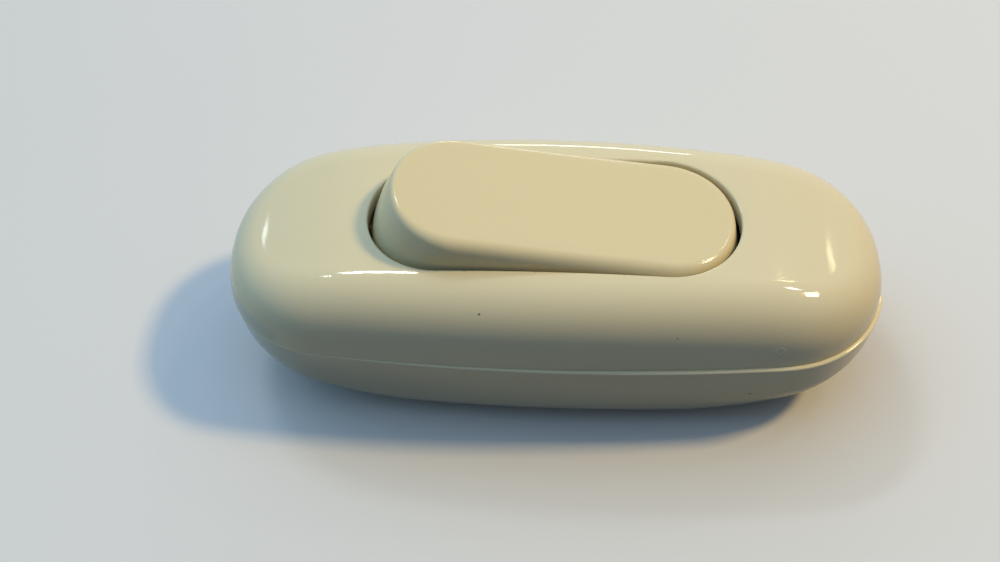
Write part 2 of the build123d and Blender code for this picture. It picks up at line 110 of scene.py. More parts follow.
@dataclass
class ShaderBench:
    """Short calls for building the nodes of one material or of the world."""

    owner: bpy.types.Material | bpy.types.World

    @classmethod
    def fresh(cls, name: str) -> ShaderBench:
        """Starts a node material that holds only a shader and its output.

        Args:
            name: name of the material.

        Returns:
            The bench of the new material.
        """
        material = bpy.data.materials.new(name)
        material.use_nodes = True
        return cls(material)

    @property
    def nodes(self) -> bpy.types.Nodes:
        """The nodes of the material or world."""
        return self.owner.node_tree.nodes

    def feed(self, value: Value, target: Socket) -> None:
        """Joins a socket to the target, or writes a plain value into it.

        Args:
            value: a socket, a number or a row of numbers.
            target: the socket that takes it.
        """
        if isinstance(value, Socket):
            self.owner.node_tree.links.new(value, target)
        else:
            target.default_value = value

    def shade(self, name: str, value: Value) -> None:
        """Feeds the socket of that name on the Principled shader."""
        self.feed(value, self.nodes["Principled BSDF"].inputs[name])

    def add(self, kind: str, **settings: object) -> bpy.types.Node:
        """Adds a node.

        Args:
            kind: the node's type name.
            settings: properties of the node, set by name.

        Returns:
            The new node.
        """
        node = self.nodes.new(kind)
        for name, value in settings.items():
            setattr(node, name, value)
        return node

    def worked(self, kind: str, operation: str, values: Sequence[Value]) -> bpy.types.Node:
        """Adds a node that works something out.

        Args:
            kind: the node's type name.
            operation: what it does.
            values: what it works on, in the order of its sockets.

        Returns:
            The new node.
        """
        node = self.add(kind, operation=operation)
        for value, target in zip(values, node.inputs):
            self.feed(value, target)
        return node

    def number(self, operation: str, *values: Value) -> Socket:
        """Works out a number from numbers."""
        return self.worked("ShaderNodeMath", operation, values).outputs["Value"]

    def vector(self, operation: str, *values: Value) -> Socket:
        """Works out a vector from vectors."""
        return self.worked("ShaderNodeVectorMath", operation, values).outputs["Vector"]

    def measure(self, operation: str, *values: Value) -> Socket:
        """Works out a number from vectors."""
        return self.worked("ShaderNodeVectorMath", operation, values).outputs["Value"]

    def place(self) -> Socket:
        """The object's own coordinates, in metres."""
        return self.add("ShaderNodeTexCoord").outputs["Object"]

    def stretched(self, factors: Triple) -> Socket:
        """Object coordinates scaled along each axis by its factor."""
        return self.vector("MULTIPLY", self.place(), factors)

    def noise(self, grain: Grain, where: Socket | None = None) -> Socket:
        """Noise over the object.

        Args:
            grain: the pattern.
            where: coordinates, or the object's own.

        Returns:
            The noise value.
        """
        node = self.add("ShaderNodeTexNoise")
        self.feed(grain.scale, node.inputs["Scale"])
        self.feed(grain.detail, node.inputs["Detail"])
        self.feed(grain.roughness, node.inputs["Roughness"])
        self.feed(where or self.place(), node.inputs["Vector"])
        return node.outputs["Fac"]

    def remap(self, value: Socket, low: float, high: float, to_low: float, to_high: float) -> Socket:
        """Maps one range of a value onto another, held at the ends.

        Args:
            value: the value to map.
            low: start of the range read.
            high: end of the range read.
            to_low: result at the start.
            to_high: result at the end.

        Returns:
            The mapped value.
        """
        node = self.add("ShaderNodeMapRange")
        for given, target in zip((value, low, high, to_low, to_high), node.inputs):
            self.feed(given, target)
        return node.outputs["Result"]

    def blend(self, share: Socket, first: Value, second: Value) -> Socket:
        """Mixes two colours.

        Args:
            share: how much of the second colour.
            first: colour where the share is 0.
            second: colour where the share is 1.

        Returns:
            The mixed colour.
        """
        node = self.add("ShaderNodeMix", data_type="RGBA")
        self.feed(share, node.inputs[0])
        for colour, target in ((first, node.inputs[6]), (second, node.inputs[7])):
            self.feed(colour if isinstance(colour, Socket) else (*colour, 1.0), target)
        return node.outputs[2]

    def bump(self, heights: Sequence[tuple[Socket, float]]) -> None:
        """Chains bumps into the shader's normal.

        Args:
            heights: height values in 0 to 1, each with its depth in metres.
        """
        previous: Socket | None = None
        for value, depth in heights:
            node = self.add("ShaderNodeBump")
            self.feed(1.0, node.inputs["Strength"])
            self.feed(depth, node.inputs["Distance"])
            self.feed(value, node.inputs["Height"])
            if previous is not None:
                self.feed(previous, node.inputs["Normal"])
            previous = node.outputs["Normal"]
        if previous is not None:
            self.shade("Normal", previous)


def shaded(colour: Triple, factor: float) -> Triple:
    """A colour made darker by a factor."""
    return tuple(part * factor for part in colour)


def in_metres(sizes: Triple) -> Triple:
    """Three sizes in millimetres, turned into metres."""
    return tuple(size * MM for size in sizes)


@dataclass(frozen=True)
class Fleck:
    """A speck, nick or scuff on a moulding.

    Attributes:
        centre: its place in millimetres.
        size: half its length along each axis in millimetres.
        turn: turn about the Y axis in radians.
        strength: how far its colour covers the moulding's.
        core: share of its size from which it fades.
    """

    centre: Triple
    size: Triple
    turn: float = 0.0
    strength: float = 0.85
    core: float = 0.5

    def share(self, bench: ShaderBench) -> Socket:
        """Tells the spot from the rest of the moulding.

        Args:
            bench: the material being built.

        Returns:
            The strength inside the spot and 0 outside, with a soft rim.
        """
        mapping = bench.add("ShaderNodeMapping", vector_type="TEXTURE")
        bench.feed(in_metres(self.centre), mapping.inputs["Location"])
        bench.feed((0, self.turn, 0), mapping.inputs["Rotation"])
        bench.feed(in_metres(self.size), mapping.inputs["Scale"])
        bench.feed(bench.place(), mapping.inputs["Vector"])
        reach = bench.measure("LENGTH", mapping.outputs["Vector"])
        return bench.remap(reach, self.core, 1.0, self.strength, 0.0)


@dataclass(frozen=True)
class GateMark:
    """The small ring that a mould's gate leaves on a moulding.

    Attributes:
        centre: its place in millimetres.
        radius: radius of the ring in millimetres.
        height: height of the ring in millimetres.
        breadth: half the ring's breadth as a share of its radius.
        strength: how far the pale colour of the painted highlight covers the moulding's on the ring.
    """

    centre: Triple
    radius: float
    height: float
    breadth: float = 0.35
    strength: float = 0.5

    def ring(self, bench: ShaderBench) -> Socket:
        """Height of the ring.

        Args:
            bench: the material being built.

        Returns:
            The height, 1 on the ring and 0 elsewhere.
        """
        reach = bench.measure("DISTANCE", bench.place(), in_metres(self.centre))
        apart = bench.number("ABSOLUTE", bench.number("SUBTRACT", reach, self.radius * MM))
        return bench.remap(apart, 0.0, self.radius * self.breadth * MM, 1.0, 0.0)


@dataclass(frozen=True)
class LedgeHighlight:
    """Painted highlight on the seam's upward-facing ledge above a height, stronger towards the lit right
    end.

    Attributes:
        height: where it begins in millimetres.
        rise: height over which it comes in.
        reach: distance from the middle at which it is absent on the left and full on the right.
        strength: how far the painted highlight's colour covers the moulding's at the right.
    """

    height: float
    rise: float = 0.2
    reach: float = 30.0
    strength: float = 0.75

    def share(self, bench: ShaderBench) -> Socket:
        """Tells how strong the painted highlight is.

        Args:
            bench: the material being built.

        Returns:
            The strength of the painted highlight's colour.
        """
        split = bench.add("ShaderNodeSeparateXYZ")
        bench.feed(bench.place(), split.inputs["Vector"])
        low, high, reach = in_metres((self.height, self.height + self.rise, self.reach))
        band = bench.remap(split.outputs["Z"], low, high, 0.0, 1.0)
        along = bench.remap(split.outputs["X"], -reach, reach, 0.0, self.strength)
        return bench.number("MULTIPLY", band, along)


@dataclass(frozen=True)
class Dust:
    """Small dark specks in the plastic.

    Attributes:
        scale: cells per metre.
        size: full and outer radius of a speck in parts of a cell.
        chance: range of the cell's own value over which it gets a speck.
        strength: how far a speck's colour covers the moulding's.
    """

    scale: float = 170.0
    size: tuple[float, float] = (0.012, 0.022)
    chance: tuple[float, float] = (0.86, 0.88)
    strength: float = 0.55

    def share(self, bench: ShaderBench) -> Socket:
        """Tells the specks from the rest of the moulding.

        Args:
            bench: the material being built.

        Returns:
            The strength on a speck and 0 elsewhere.
        """
        cells = bench.add("ShaderNodeTexVoronoi", feature="F1")
        bench.feed(self.scale, cells.inputs["Scale"])
        bench.feed(bench.place(), cells.inputs["Vector"])
        dots = bench.remap(cells.outputs["Distance"], *self.size, self.strength, 0.0)
        parts = bench.add("ShaderNodeSeparateColor")
        bench.feed(cells.outputs["Color"], parts.inputs["Color"])
        return bench.number("MULTIPLY", dots, bench.remap(parts.outputs[0], *self.chance, 0.0, 1.0))


@dataclass(frozen=True)
class Moulding:
    """Cream moulded plastic with flow clouds, a fine skin, a few marks of use and painted highlights.

    Attributes:
        name: the material's name.
        colour: its colour.
        cloud: its colour in the clouds.
        gloss: lowest and highest roughness.
        clouds: pattern of the clouds.
        flow: scale of the clouds along each axis.
        cloud_range: range of the pattern over which a cloud comes in.
        speckle: pattern of the fine darker speckle.
        speckle_tone: the speckle's brightness in parts of the colour.
        speckle_strength: how far the speckle covers the colour.
        wave: pattern of the slow waves in the surface.
        wave_depth: their depth in metres.
        skin: pattern of the fine skin.
        skin_depth: its depth in metres.
        handling: pattern of the uneven gloss.
        ior: index of refraction.
        dust: the specks in the plastic.
        flecks: dark spots.
        scuffs: pale spots.
        gate: the gate's ring, raised by a bump and with a painted highlight.
        ledge_highlight: the painted highlight on the seam ledge.
        fleck_colour: colour of the dark spots.
        scuff_and_highlight_colour: colour of the pale spots, and of the painted highlights on the seam
            ledge and the gate's ring.
    """

    name: str
    colour: Triple
    cloud: Triple
    gloss: tuple[float, float]
    clouds: Grain = Grain(55.0, 4.0, 0.55)
    flow: Triple = (0.5, 1.0, 1.0)
    cloud_range: tuple[float, float] = (0.35, 0.68)
    speckle: Grain = Grain(900.0, 3.0, 0.6)
    speckle_tone: float = 0.8
    speckle_strength: float = 0.07
    wave: Grain = Grain(70.0, 1.0, 0.4)
    wave_depth: float = 0.000004
    skin: Grain = Grain(2600.0, 2.0, 0.5)
    skin_depth: float = 0.0000008
    handling: Grain = Grain(260.0, 5.0, 0.6)
    ior: float = 1.49
    dust: Dust = Dust()
    flecks: tuple[Fleck, ...] = ()
    scuffs: tuple[Fleck, ...] = ()
    gate: GateMark | None = None
    ledge_highlight: LedgeHighlight | None = None
    fleck_colour: Triple = (0.05, 0.045, 0.035)
    # pale yellow of the scuffs, also painted on as a highlight on the seam ledge and the gate's ring
    scuff_and_highlight_colour: Triple = (0.80, 0.74, 0.52)

    def build(self) -> bpy.types.Material:
        """Makes the material.

        Returns:
            The finished material.
        """
        bench = ShaderBench.fresh(self.name)
        clouds = bench.noise(self.clouds, bench.stretched(self.flow))
        cloudy = bench.remap(clouds, *self.cloud_range, 0.0, 1.0)
        colour = bench.blend(cloudy, self.colour, self.cloud)
        grain = bench.remap(bench.noise(self.speckle), *MID_NOISE, 0.0, self.speckle_strength)
        colour = bench.blend(grain, colour, shaded(self.colour, self.speckle_tone))
        marks = [(mark.share(bench), self.fleck_colour) for mark in (self.dust, *self.flecks)]
        marks += [(scuff.share(bench), self.scuff_and_highlight_colour) for scuff in self.scuffs]
        heights = [
            (bench.noise(self.wave), self.wave_depth),
            (bench.noise(self.skin), self.skin_depth),
        ]
        # painted highlight on the seam ledge, in the pale colour
        if self.ledge_highlight is not None:
            marks.append((self.ledge_highlight.share(bench), self.scuff_and_highlight_colour))
        if self.gate is not None:
            # the ring is a real bump; its pale colour is a painted highlight
            ring = self.gate.ring(bench)
            heights.append((ring, self.gate.height * MM))
            faint = bench.remap(ring, 0.0, 1.0, 0.0, self.gate.strength)
            marks.append((faint, self.scuff_and_highlight_colour))
        for share, tone in marks:
            colour = bench.blend(share, colour, tone)
        bench.shade("Base Color", colour)
        bench.shade("Roughness", bench.remap(bench.noise(self.handling), *MID_NOISE, *self.gloss))
        bench.shade("IOR", self.ior)
        bench.bump(heights)
        return bench.owner


@dataclass(frozen=True)
class DullMoulding:
    """Matte engineering plastic of the inner parts.

    Attributes:
        name: the material's name.
        colour: its colour.
        gloss: lowest and highest roughness.
        clouds: pattern of the darker clouds.
        cloud_tone: their brightness in parts of the colour.
        handling: pattern of the uneven gloss.
        skin: pattern of the surface.
        skin_depth: its depth in metres.
    """

    name: str
    colour: Triple
    gloss: tuple[float, float] = (0.46, 0.62)
    clouds: Grain = Grain(120.0, 4.0, 0.6)
    cloud_tone: float = 0.86
    handling: Grain = Grain(500.0, 4.0, 0.6)
    skin: Grain = Grain(2200.0, 3.0, 0.6)
    skin_depth: float = 0.000006

    def build(self) -> bpy.types.Material:
        """Makes the material.

        Returns:
            The finished material.
        """
        bench = ShaderBench.fresh(self.name)
        clouds = bench.remap(bench.noise(self.clouds), *MID_NOISE, 0.0, 1.0)
        cloud = shaded(self.colour, self.cloud_tone)
        bench.shade("Base Color", bench.blend(clouds, self.colour, cloud))
        bench.shade("Roughness", bench.remap(bench.noise(self.handling), *MID_NOISE, *self.gloss))
        bench.bump(((bench.noise(self.skin), self.skin_depth),))
        return bench.owner


@dataclass(frozen=True)
class MetalFinish:
    """Worked metal with rolling marks and tarnish.

    Attributes:
        metal: the metal.
        colour: its clean colour.
        tarnish: its colour where it is stained.
        gloss: lowest and highest roughness.
        stains: pattern of the stains.
        stain_range: range of the pattern over which a stain comes in.
        marks: pattern of the rolling marks.
        rolling: scale of the marks along each axis.
        mark_depth: their depth in metres.
    """

    metal: Metal
    colour: Triple
    tarnish: Triple
    gloss: tuple[float, float]
    stains: Grain = Grain(320.0, 5.0, 0.65)
    stain_range: tuple[float, float] = (0.42, 0.72)
    marks: Grain = Grain(2.0, 4.0, 0.6)
    rolling: Triple = (40.0, 900.0, 900.0)
    mark_depth: float = 0.000004

    def build(self) -> bpy.types.Material:
        """Makes the material.

        Returns:
            The finished material.
        """
        bench = ShaderBench.fresh(self.metal.value)
        stains = bench.remap(bench.noise(self.stains), *self.stain_range, 0.0, 1.0)
        marks = bench.noise(self.marks, bench.stretched(self.rolling))
        bench.shade("Metallic", 1.0)
        bench.shade("Base Color", bench.blend(stains, self.colour, self.tarnish))
        bench.shade("Roughness", bench.remap(marks, *MID_NOISE, *self.gloss))
        bench.bump(((marks, self.mark_depth),))
        return bench.owner


class Palette:
    """Every finish of the switch, built once."""

    def __init__(self) -> None:
        """Builds the materials."""
        shell = Moulding("cream_shell", (0.665, 0.590, 0.385), (0.652, 0.580, 0.378), (0.045, 0.085))
        self.cover = replace(
            shell,
            name="cream_cover",
            flecks=(
                Fleck((-8.6, -15.1, 22.4), (0.22, 0.2, 0.2)),
                Fleck((15.7, -16.0, 19.9), (0.16, 0.3, 0.16), strength=0.6),
                Fleck((4.6, -12.4, 24.1), (0.14, 0.2, 0.14), strength=0.45),
                Fleck((-1.9, -9.9, 24.5), (0.2, 0.16, 0.2)),
            ),
            # the gate's ring carries a painted highlight in the pale colour
            gate=GateMark((28.6, -15.7, 17.05), 0.65, 0.11),
        ).build()
        self.base = replace(
            shell,
            name="cream_base",
            flecks=(Fleck((26.0, -15.9, 8.1), (0.42, 0.4, 0.13), turn=0.35),),
            scuffs=(Fleck((-29.0, -15.9, 11.0), (0.6, 0.6, 0.22), strength=0.3),),
            # painted highlight on the seam ledge, stronger towards the right end
            ledge_highlight=LedgeHighlight(13.5),
        ).build()
        self.rocker = Moulding(
            "cream_rocker", (0.665, 0.572, 0.345), (0.652, 0.560, 0.337), (0.10, 0.16)
        ).build()
        self.carrier = DullMoulding("carrier_plastic", (0.78, 0.77, 0.73)).build()
        self.plunger = DullMoulding("plunger_plastic", (0.58, 0.56, 0.49)).build()
        self.metals = {
            finish.metal: finish.build()
            for finish in (
                MetalFinish(Metal.BRASS, (0.80, 0.60, 0.27), (0.52, 0.36, 0.15), (0.22, 0.42)),
                MetalFinish(Metal.ZINC_STEEL, (0.66, 0.67, 0.69), (0.50, 0.50, 0.48), (0.2, 0.4)),
                MetalFinish(Metal.SPRING_STEEL, (0.52, 0.53, 0.55), (0.38, 0.37, 0.36), (0.2, 0.35)),
                MetalFinish(Metal.SILVER, (0.86, 0.85, 0.82), (0.58, 0.55, 0.50), (0.15, 0.32)),
            )
        }


# ---------------------------------------------------------------- modelling helpers


class Workshop:
    """Blender's own modelling tools, called the way a modeller uses them."""

    @staticmethod
    def clear() -> None:
        """Leaves nothing selected, in object mode."""
        if bpy.context.object and bpy.context.object.mode != "OBJECT":
            bpy.ops.object.mode_set(mode="OBJECT")
        bpy.ops.object.select_all(action="DESELECT")

    @staticmethod
    def pick(piece: Piece) -> None:
        """Selects one piece and makes it active.

        Args:
            piece: the piece.
        """
        Workshop.clear()
        piece.select_set(True)
        bpy.context.view_layer.objects.active = piece

    @staticmethod
    def label(piece: Piece, name: str) -> Piece:
        """Names a piece and its mesh.

        Args:
            piece: the piece.
            name: its name.

        Returns:
            The same piece.
        """
        piece.name = name
        piece.data.name = name
        return piece

    @staticmethod
    def settle(piece: Piece, name: str) -> Piece:
        """Names a piece and moves its place into its mesh.

        Args:
            piece: the piece.
            name: its name.

        Returns:
            The same piece.
        """
        Workshop.pick(Workshop.label(piece, name))
        bpy.ops.object.transform_apply(location=True, rotation=True, scale=True)
        return piece

    @staticmethod
    def weld(piece: Piece, outwards: bool) -> None:
        """Merges the points of a piece that meet.

        Args:
            piece: the piece.
            outwards: whether its faces are also turned outwards.
        """
        Workshop.pick(piece)
        bpy.ops.object.mode_set(mode="EDIT")
        bpy.ops.mesh.select_all(action="SELECT")
        bpy.ops.mesh.remove_doubles(threshold=MERGE_REACH)
        if outwards:
            bpy.ops.mesh.normals_make_consistent(inside=False)
        bpy.ops.object.mode_set(mode="OBJECT")

    @staticmethod
    def wrap(name: str, rings: Sequence[Ring]) -> Piece:
        """Lays a closed skin over a row of rings with equally many points.

        The skin starts as a grid with one row for each ring. Points that meet are merged, so the
        last ring may close on itself or return to the first.

        Args:
            name: name of the piece.
            rings: the rings in order, in millimetres.

        Returns:
            The new piece.
        """
        Workshop.clear()
        bpy.ops.mesh.primitive_grid_add(
            x_subdivisions=len(rings[0]), y_subdivisions=len(rings) - 1, size=1.0
        )
        piece = Workshop.label(bpy.context.object, name)
        points: list[float] = []
        for ring in rings:
            for corner in (*ring, ring[0]):
                points.extend((corner * MM)[:])
        piece.data.vertices.foreach_set("co", points)
        Workshop.weld(piece, outwards=True)
        return piece

    @staticmethod
    def apply(piece: Piece, kind: str, **settings: object) -> None:
        """Adds a modifier and applies it.

        Args:
            piece: the piece it works on.
            kind: the modifier's type.
            settings: its properties, set by name.
        """
        Workshop.pick(piece)
        modifier = piece.modifiers.new(kind.lower(), kind)
        for name, value in settings.items():
            setattr(modifier, name, value)
        bpy.ops.object.modifier_apply(modifier=modifier.name)

    @staticmethod
    def combine(piece: Piece, tool: Piece, operation: str) -> None:
        """Cuts a piece with a tool, or keeps what lies inside the tool, and removes the tool."""
        Workshop.apply(piece, "BOOLEAN", operation=operation, object=tool, solver="EXACT")
        bpy.data.objects.remove(tool)

    @staticmethod
    def carve(piece: Piece, tools: Sequence[Piece]) -> None:
        """Cuts the forms of several tools out of a piece, one after the other."""
        for tool in tools:
            Workshop.combine(piece, tool, "DIFFERENCE")

    @staticmethod
    def contents(solid: Piece, cavity: Piece) -> Piece:
        """Copies what a solid has inside a cavity, such as its bosses and ribs.

        Args:
            solid: the solid, which stays as it is.
            cavity: the space to look in, which is used up.

        Returns:
            The copied forms as one piece.
        """
        forms = bpy.data.objects.new("contents", solid.data.copy())
        bpy.context.scene.collection.objects.link(forms)
        Workshop.weld(forms, outwards=False)
        Workshop.combine(forms, cavity, "INTERSECT")
        return forms

    @staticmethod
    def join(name: str, pieces: Sequence[Piece]) -> Piece:
        """Joins pieces into one object.

        Args:
            name: name of the joined piece.
            pieces: the pieces, of which the first stays active.

        Returns:
            The joined piece.
        """
        Workshop.clear()
        for piece in pieces:
            piece.select_set(True)
        bpy.context.view_layer.objects.active = pieces[0]
        bpy.ops.object.join()
        return Workshop.label(bpy.context.object, name)

    @staticmethod
    def rod(
        name: str,
        start: Vector,
        end: Vector,
        radius: float,
        end_radius: float | None = None,
        corners: int = 96,
    ) -> Piece:
        """Makes a round bar or cone between two points, in millimetres.

        Args:
            name: name of the piece.
            start: centre of the first end.
            end: centre of the second end.
            radius: radius at the first end.
            end_radius: radius at the second end, or the same.
            corners: flats around.

        Returns:
            The new piece.
        """
        Workshop.clear()
        along = end - start
        bpy.ops.mesh.primitive_cone_add(
            vertices=corners,
            radius1=radius * MM,
            radius2=(radius if end_radius is None else end_radius) * MM,
            depth=along.length * MM,
            location=(start + end) / 2 * MM,
            rotation=Vector((0, 0, 1)).rotation_difference(along.normalized()).to_euler(),
        )
        return Workshop.settle(bpy.context.object, name)

    @staticmethod
    def dress(piece: Piece, material: bpy.types.Material) -> None:
        """Gives the whole piece one material."""
        piece.data.materials.clear()
        piece.data.materials.append(material)

    @staticmethod
    def complete(piece: Piece, material: bpy.types.Material, crease: float = 35.0) -> None:
        """Shades a modelled piece smooth, dresses it and reports it.

        Args:
            piece: the piece.
            material: its finish.
            crease: angle in degrees above which an edge stays sharp.
        """
        Workshop.pick(piece)
        bpy.ops.object.shade_smooth_by_angle(angle=math.radians(crease))
        Workshop.dress(piece, material)
        LOG.info("%s: %d faces", piece.name, len(piece.data.polygons))


def shares(count: int) -> list[float]:
    """Shares from 0 to 1 in equal steps, without the 0."""
    return [(step + 1) / count for step in range(count)]


def turned(first: Vector, second: Vector, share: float) -> Vector:
    """Unit direction part of the way from one unit direction to another.

    Args:
        first: direction at share 0.
        second: direction at share 1.
        share: how far to turn.

    Returns:
        The direction.
    """
    angle = first.angle(second, 0.0)
    if angle < SAME_WAY:
        return first.copy()
    mix = first * math.sin((1 - share) * angle) + second * math.sin(share * angle)
    return mix.normalized()


def mirrored(corner: Sequence[Vector]) -> Ring:
    """Completes a closed line from its first quarter.

    Args:
        corner: points from the right end to the middle of the rear side.

    Returns:
        The points all around.
    """
    there, back = corner[:-1], corner[:0:-1]
    line: Ring = []
    for x_sign, y_sign, part in ((1, 1, there), (-1, 1, back), (-1, -1, there), (1, -1, back)):
        line += [Vector((x_sign * point.x, y_sign * point.y, point.z)) for point in part]
    return line


# ---------------------------------------------------------------- housing


@dataclass(frozen=True)
class RimPoint:
    """One place around the housing's plan.

    Attributes:
        spot: the place.
        way: outward direction in the plan.
    """

    spot: Vector
    way: Vector

    def at(self, inset: float, height: float) -> Vector:
        """The place moved inwards by an inset, at a height."""
        moved = self.spot - self.way * inset
        return Vector((moved.x, moved.y, height))


@dataclass(frozen=True)
class BentLine:
    """Side view of a crown or keel: a long middle part that turns faster towards both ends.

    Attributes:
        flat: length of the middle part.
        middle_r: radius of the middle part, or 0 where it is straight.
        end_r: radius towards the ends.
        steepest: sine of the steepest slope.
    """

    flat: float
    middle_r: float
    end_r: float
    steepest: float = 0.999

    def middle(self, inset: float) -> tuple[float, float, float]:
        """Measures the middle part.

        Args:
            inset: how far inside the line.

        Returns:
            Its radius, half its length and the slope at which it ends.
        """
        if not self.middle_r:
            return 0.0, self.flat / 2, 0.0
        bend = math.asin(self.flat / 2 / self.middle_r)
        radius = self.middle_r - inset
        return radius, radius * math.sin(bend), bend

    def slope(self, x: float, inset: float = 0.0) -> float:
        """Angle of the line from level at a distance along the housing.

        Args:
            x: distance from the middle.
            inset: how far inside the line.

        Returns:
            The angle in radians, always positive.
        """
        radius, edge, bend = self.middle(inset)
        if abs(x) <= edge:
            return math.asin(abs(x) / radius) if radius else 0.0
        end_r = self.end_r - inset
        start = edge - end_r * math.sin(bend)
        return math.asin(min((abs(x) - start) / end_r, self.steepest))

    def drop(self, x: float, inset: float = 0.0) -> float:
        """How far the line has turned away from its middle height.

        Args:
            x: distance from the middle.
            inset: how far inside the line.

        Returns:
            The distance, always positive.
        """
        radius, edge, bend = self.middle(inset)
        angle = self.slope(x, inset)
        if abs(x) <= edge:
            return radius * (1 - math.cos(angle))
        first = radius * (1 - math.cos(bend))
        return first + (self.end_r - inset) * (math.cos(bend) - math.cos(angle))


@dataclass
class HousingPlan:
    """Plan of the housing and its cord inlets, in millimetres.

    Attributes:
        length: over all.
        width: over all.
        side_bow_r: radius of the bowed sides.
        end_bow_r: radius of the bowed ends.
        corner_r: radius of the corners.
        seam: height of the seam.
        wall: thickness of the shells.
        swell: how far the plan grows at its left end.
        swell_from: where along the housing that growth begins.
        inlet_r: radius of the cord holes.
        inlet_mouth: size of the flare at their mouths.
        mouth_flare: how much wider the flare's tool gets, in parts of the flare.
        bore_depth: how far the hole's tool reaches in from the end.
        bore_past: how far it reaches out past the end.
        mouth_past: how far the flare's tool reaches out past the end.
        around: points around the plan.
        parts: finer steps between two points.
        easing: finer steps to each side over which the bend is evened out.
        traced: places at which the arcs are traced.
        crowding: how much the traced places crowd on the long sides, up to 1.
        rim: the points around the plan.
    """

    length: float = 87.5
    width: float = 35.0
    side_bow_r: float = 290.0
    end_bow_r: float = 26.0
    corner_r: float = 14.8
    seam: float = 13.8
    wall: float = 2.2
    swell: float = 0.0
    swell_from: float = 14.0
    inlet_r: float = 3.6
    inlet_mouth: float = 0.6
    mouth_flare: float = 2.4
    bore_depth: float = 8.0
    bore_past: float = 4.0
    mouth_past: float = 2.0
    around: int = 384
    parts: int = 4
    easing: int = 16
    traced: int = 4000
    crowding: float = 0.999
    rim: list[RimPoint] = field(default_factory=list)

    def __post_init__(self) -> None:
        """Lays out the points around the plan at equal distances."""
        headings, stride = self.headings(self.around * self.parts)
        headings = self.softened(headings)
        spot = Vector((0, 0))
        line = []
        for first, second in zip(headings, headings[1:] + [headings[0] + FULL_TURN]):
            line.append(spot)
            middle = (first + second) / 2
            spot = spot + Vector((-math.sin(middle), math.cos(middle))) * stride
        left, right = min(p.x for p in line), max(p.x for p in line)
        near, far = min(p.y for p in line), max(p.y for p in line)
        for place in range(0, len(line), self.parts):
            x = (line[place].x - (left + right) / 2) * self.length / (right - left)
            y = (line[place].y - (near + far) / 2) * self.width / (far - near)
            way = Vector((math.cos(headings[place]), math.sin(headings[place])))
            share = min(max((self.swell_from - x) * 2 / self.length, 0.0), 1.0)
            self.rim.append(RimPoint(Vector((x, y)) + way * self.swell * share, way))

    def headings(self, count: int) -> tuple[list[float], float]:
        """Outward directions at equal distances around the plan's arcs.

        Args:
            count: number of directions.

        Returns:
            The directions as angles, and the distance between them.
        """
        ways, spots = self.arcs(self.traced)
        travel = [0.0]
        for first, second in zip(spots, spots[1:] + spots[:1]):
            travel.append(travel[-1] + (second - first).length)
        ways = ways + [FULL_TURN]
        found = []
        place = 0
        for step in range(count):
            goal = travel[-1] * step / count
            while travel[place + 1] < goal:
                place += 1
            share = (goal - travel[place]) / (travel[place + 1] - travel[place])
            found.append(ways[place] + (ways[place + 1] - ways[place]) * share)
        return found, travel[-1] / count

    def softened(self, headings: Sequence[float]) -> list[float]:
        """Evens out the change of bend where one arc of the plan meets the next.

        Args:
            headings: directions at equal distances.

        Returns:
            The averaged directions.
        """
        count = len(headings)
        soft = []
        for place in range(count):
            total = 0.0
            for step in range(-self.easing, self.easing + 1):
                turns, at = divmod(place + step, count)
                total += headings[at] + FULL_TURN * turns
            soft.append(total / (2 * self.easing + 1))
        return soft

    def arcs(self, count: int) -> tuple[list[float], list[Vector]]:
        """Traces the plan's arcs: bowed sides and ends joined by corner arcs.

        Args:
            count: number of places, crowded on the long sides.

        Returns:
            The outward direction of each place as an angle, and the place.
        """
        side_centre = self.side_bow_r - self.width / 2
        end_centre = self.length / 2 - self.end_bow_r
        side_r = self.side_bow_r - self.corner_r
        end_r = self.end_bow_r - self.corner_r
        apart = math.hypot(end_centre, side_centre)
        along = (side_r**2 - end_r**2 + apart**2) / (2 * apart)
        across = math.sqrt(side_r**2 - along**2)
        way = Vector((end_centre, side_centre)) / apart
        corner = Vector((0, -side_centre)) + way * along + Vector((way.y, -way.x)) * across
        side_limit = math.atan2(corner.x, corner.y + side_centre)
        end_limit = math.atan2(corner.y, corner.x - end_centre)
        ways, spots = [], []
        for step in range(count):
            turn = FULL_TURN * step / count
            angle = turn + 0.5 * math.sin(2 * turn) * self.crowding
            way = Vector((math.cos(angle), math.sin(angle)))
            x_sign, y_sign = math.copysign(1, way.x), math.copysign(1, way.y)
            if math.atan2(abs(way.x), abs(way.y)) <= side_limit:
                spot = Vector((0, -y_sign * side_centre)) + way * self.side_bow_r
            elif math.atan2(abs(way.y), abs(way.x)) <= end_limit:
                spot = Vector((x_sign * end_centre, 0)) + way * self.end_bow_r
            else:
                spot = Vector((x_sign * corner.x, y_sign * corner.y)) + way * self.corner_r
            ways.append(angle)
            spots.append(spot)
        return ways, spots

    def inlet_cutters(self, margin: float) -> list[Piece]:
        """Makes the tools that cut the flared cord holes at both ends.

        Args:
            margin: how much wider than the holes they cut.

        Returns:
            Two tools for each end.
        """
        tools = []
        radius = self.inlet_r + margin
        narrow, wide = radius - self.inlet_mouth, radius + self.inlet_mouth * self.mouth_flare
        past_end = (-self.bore_depth, self.bore_past, -2 * self.inlet_mouth, self.mouth_past)
        for end in End:
            inner, outer, lip, front = (
                Vector((end.value * (self.length / 2 + past), 0, self.seam)) for past in past_end
            )
            tools.append(Workshop.rod("bore_tool", inner, outer, radius))
            tools.append(Workshop.rod("mouth_tool", lip, front, narrow, wide))
        return tools


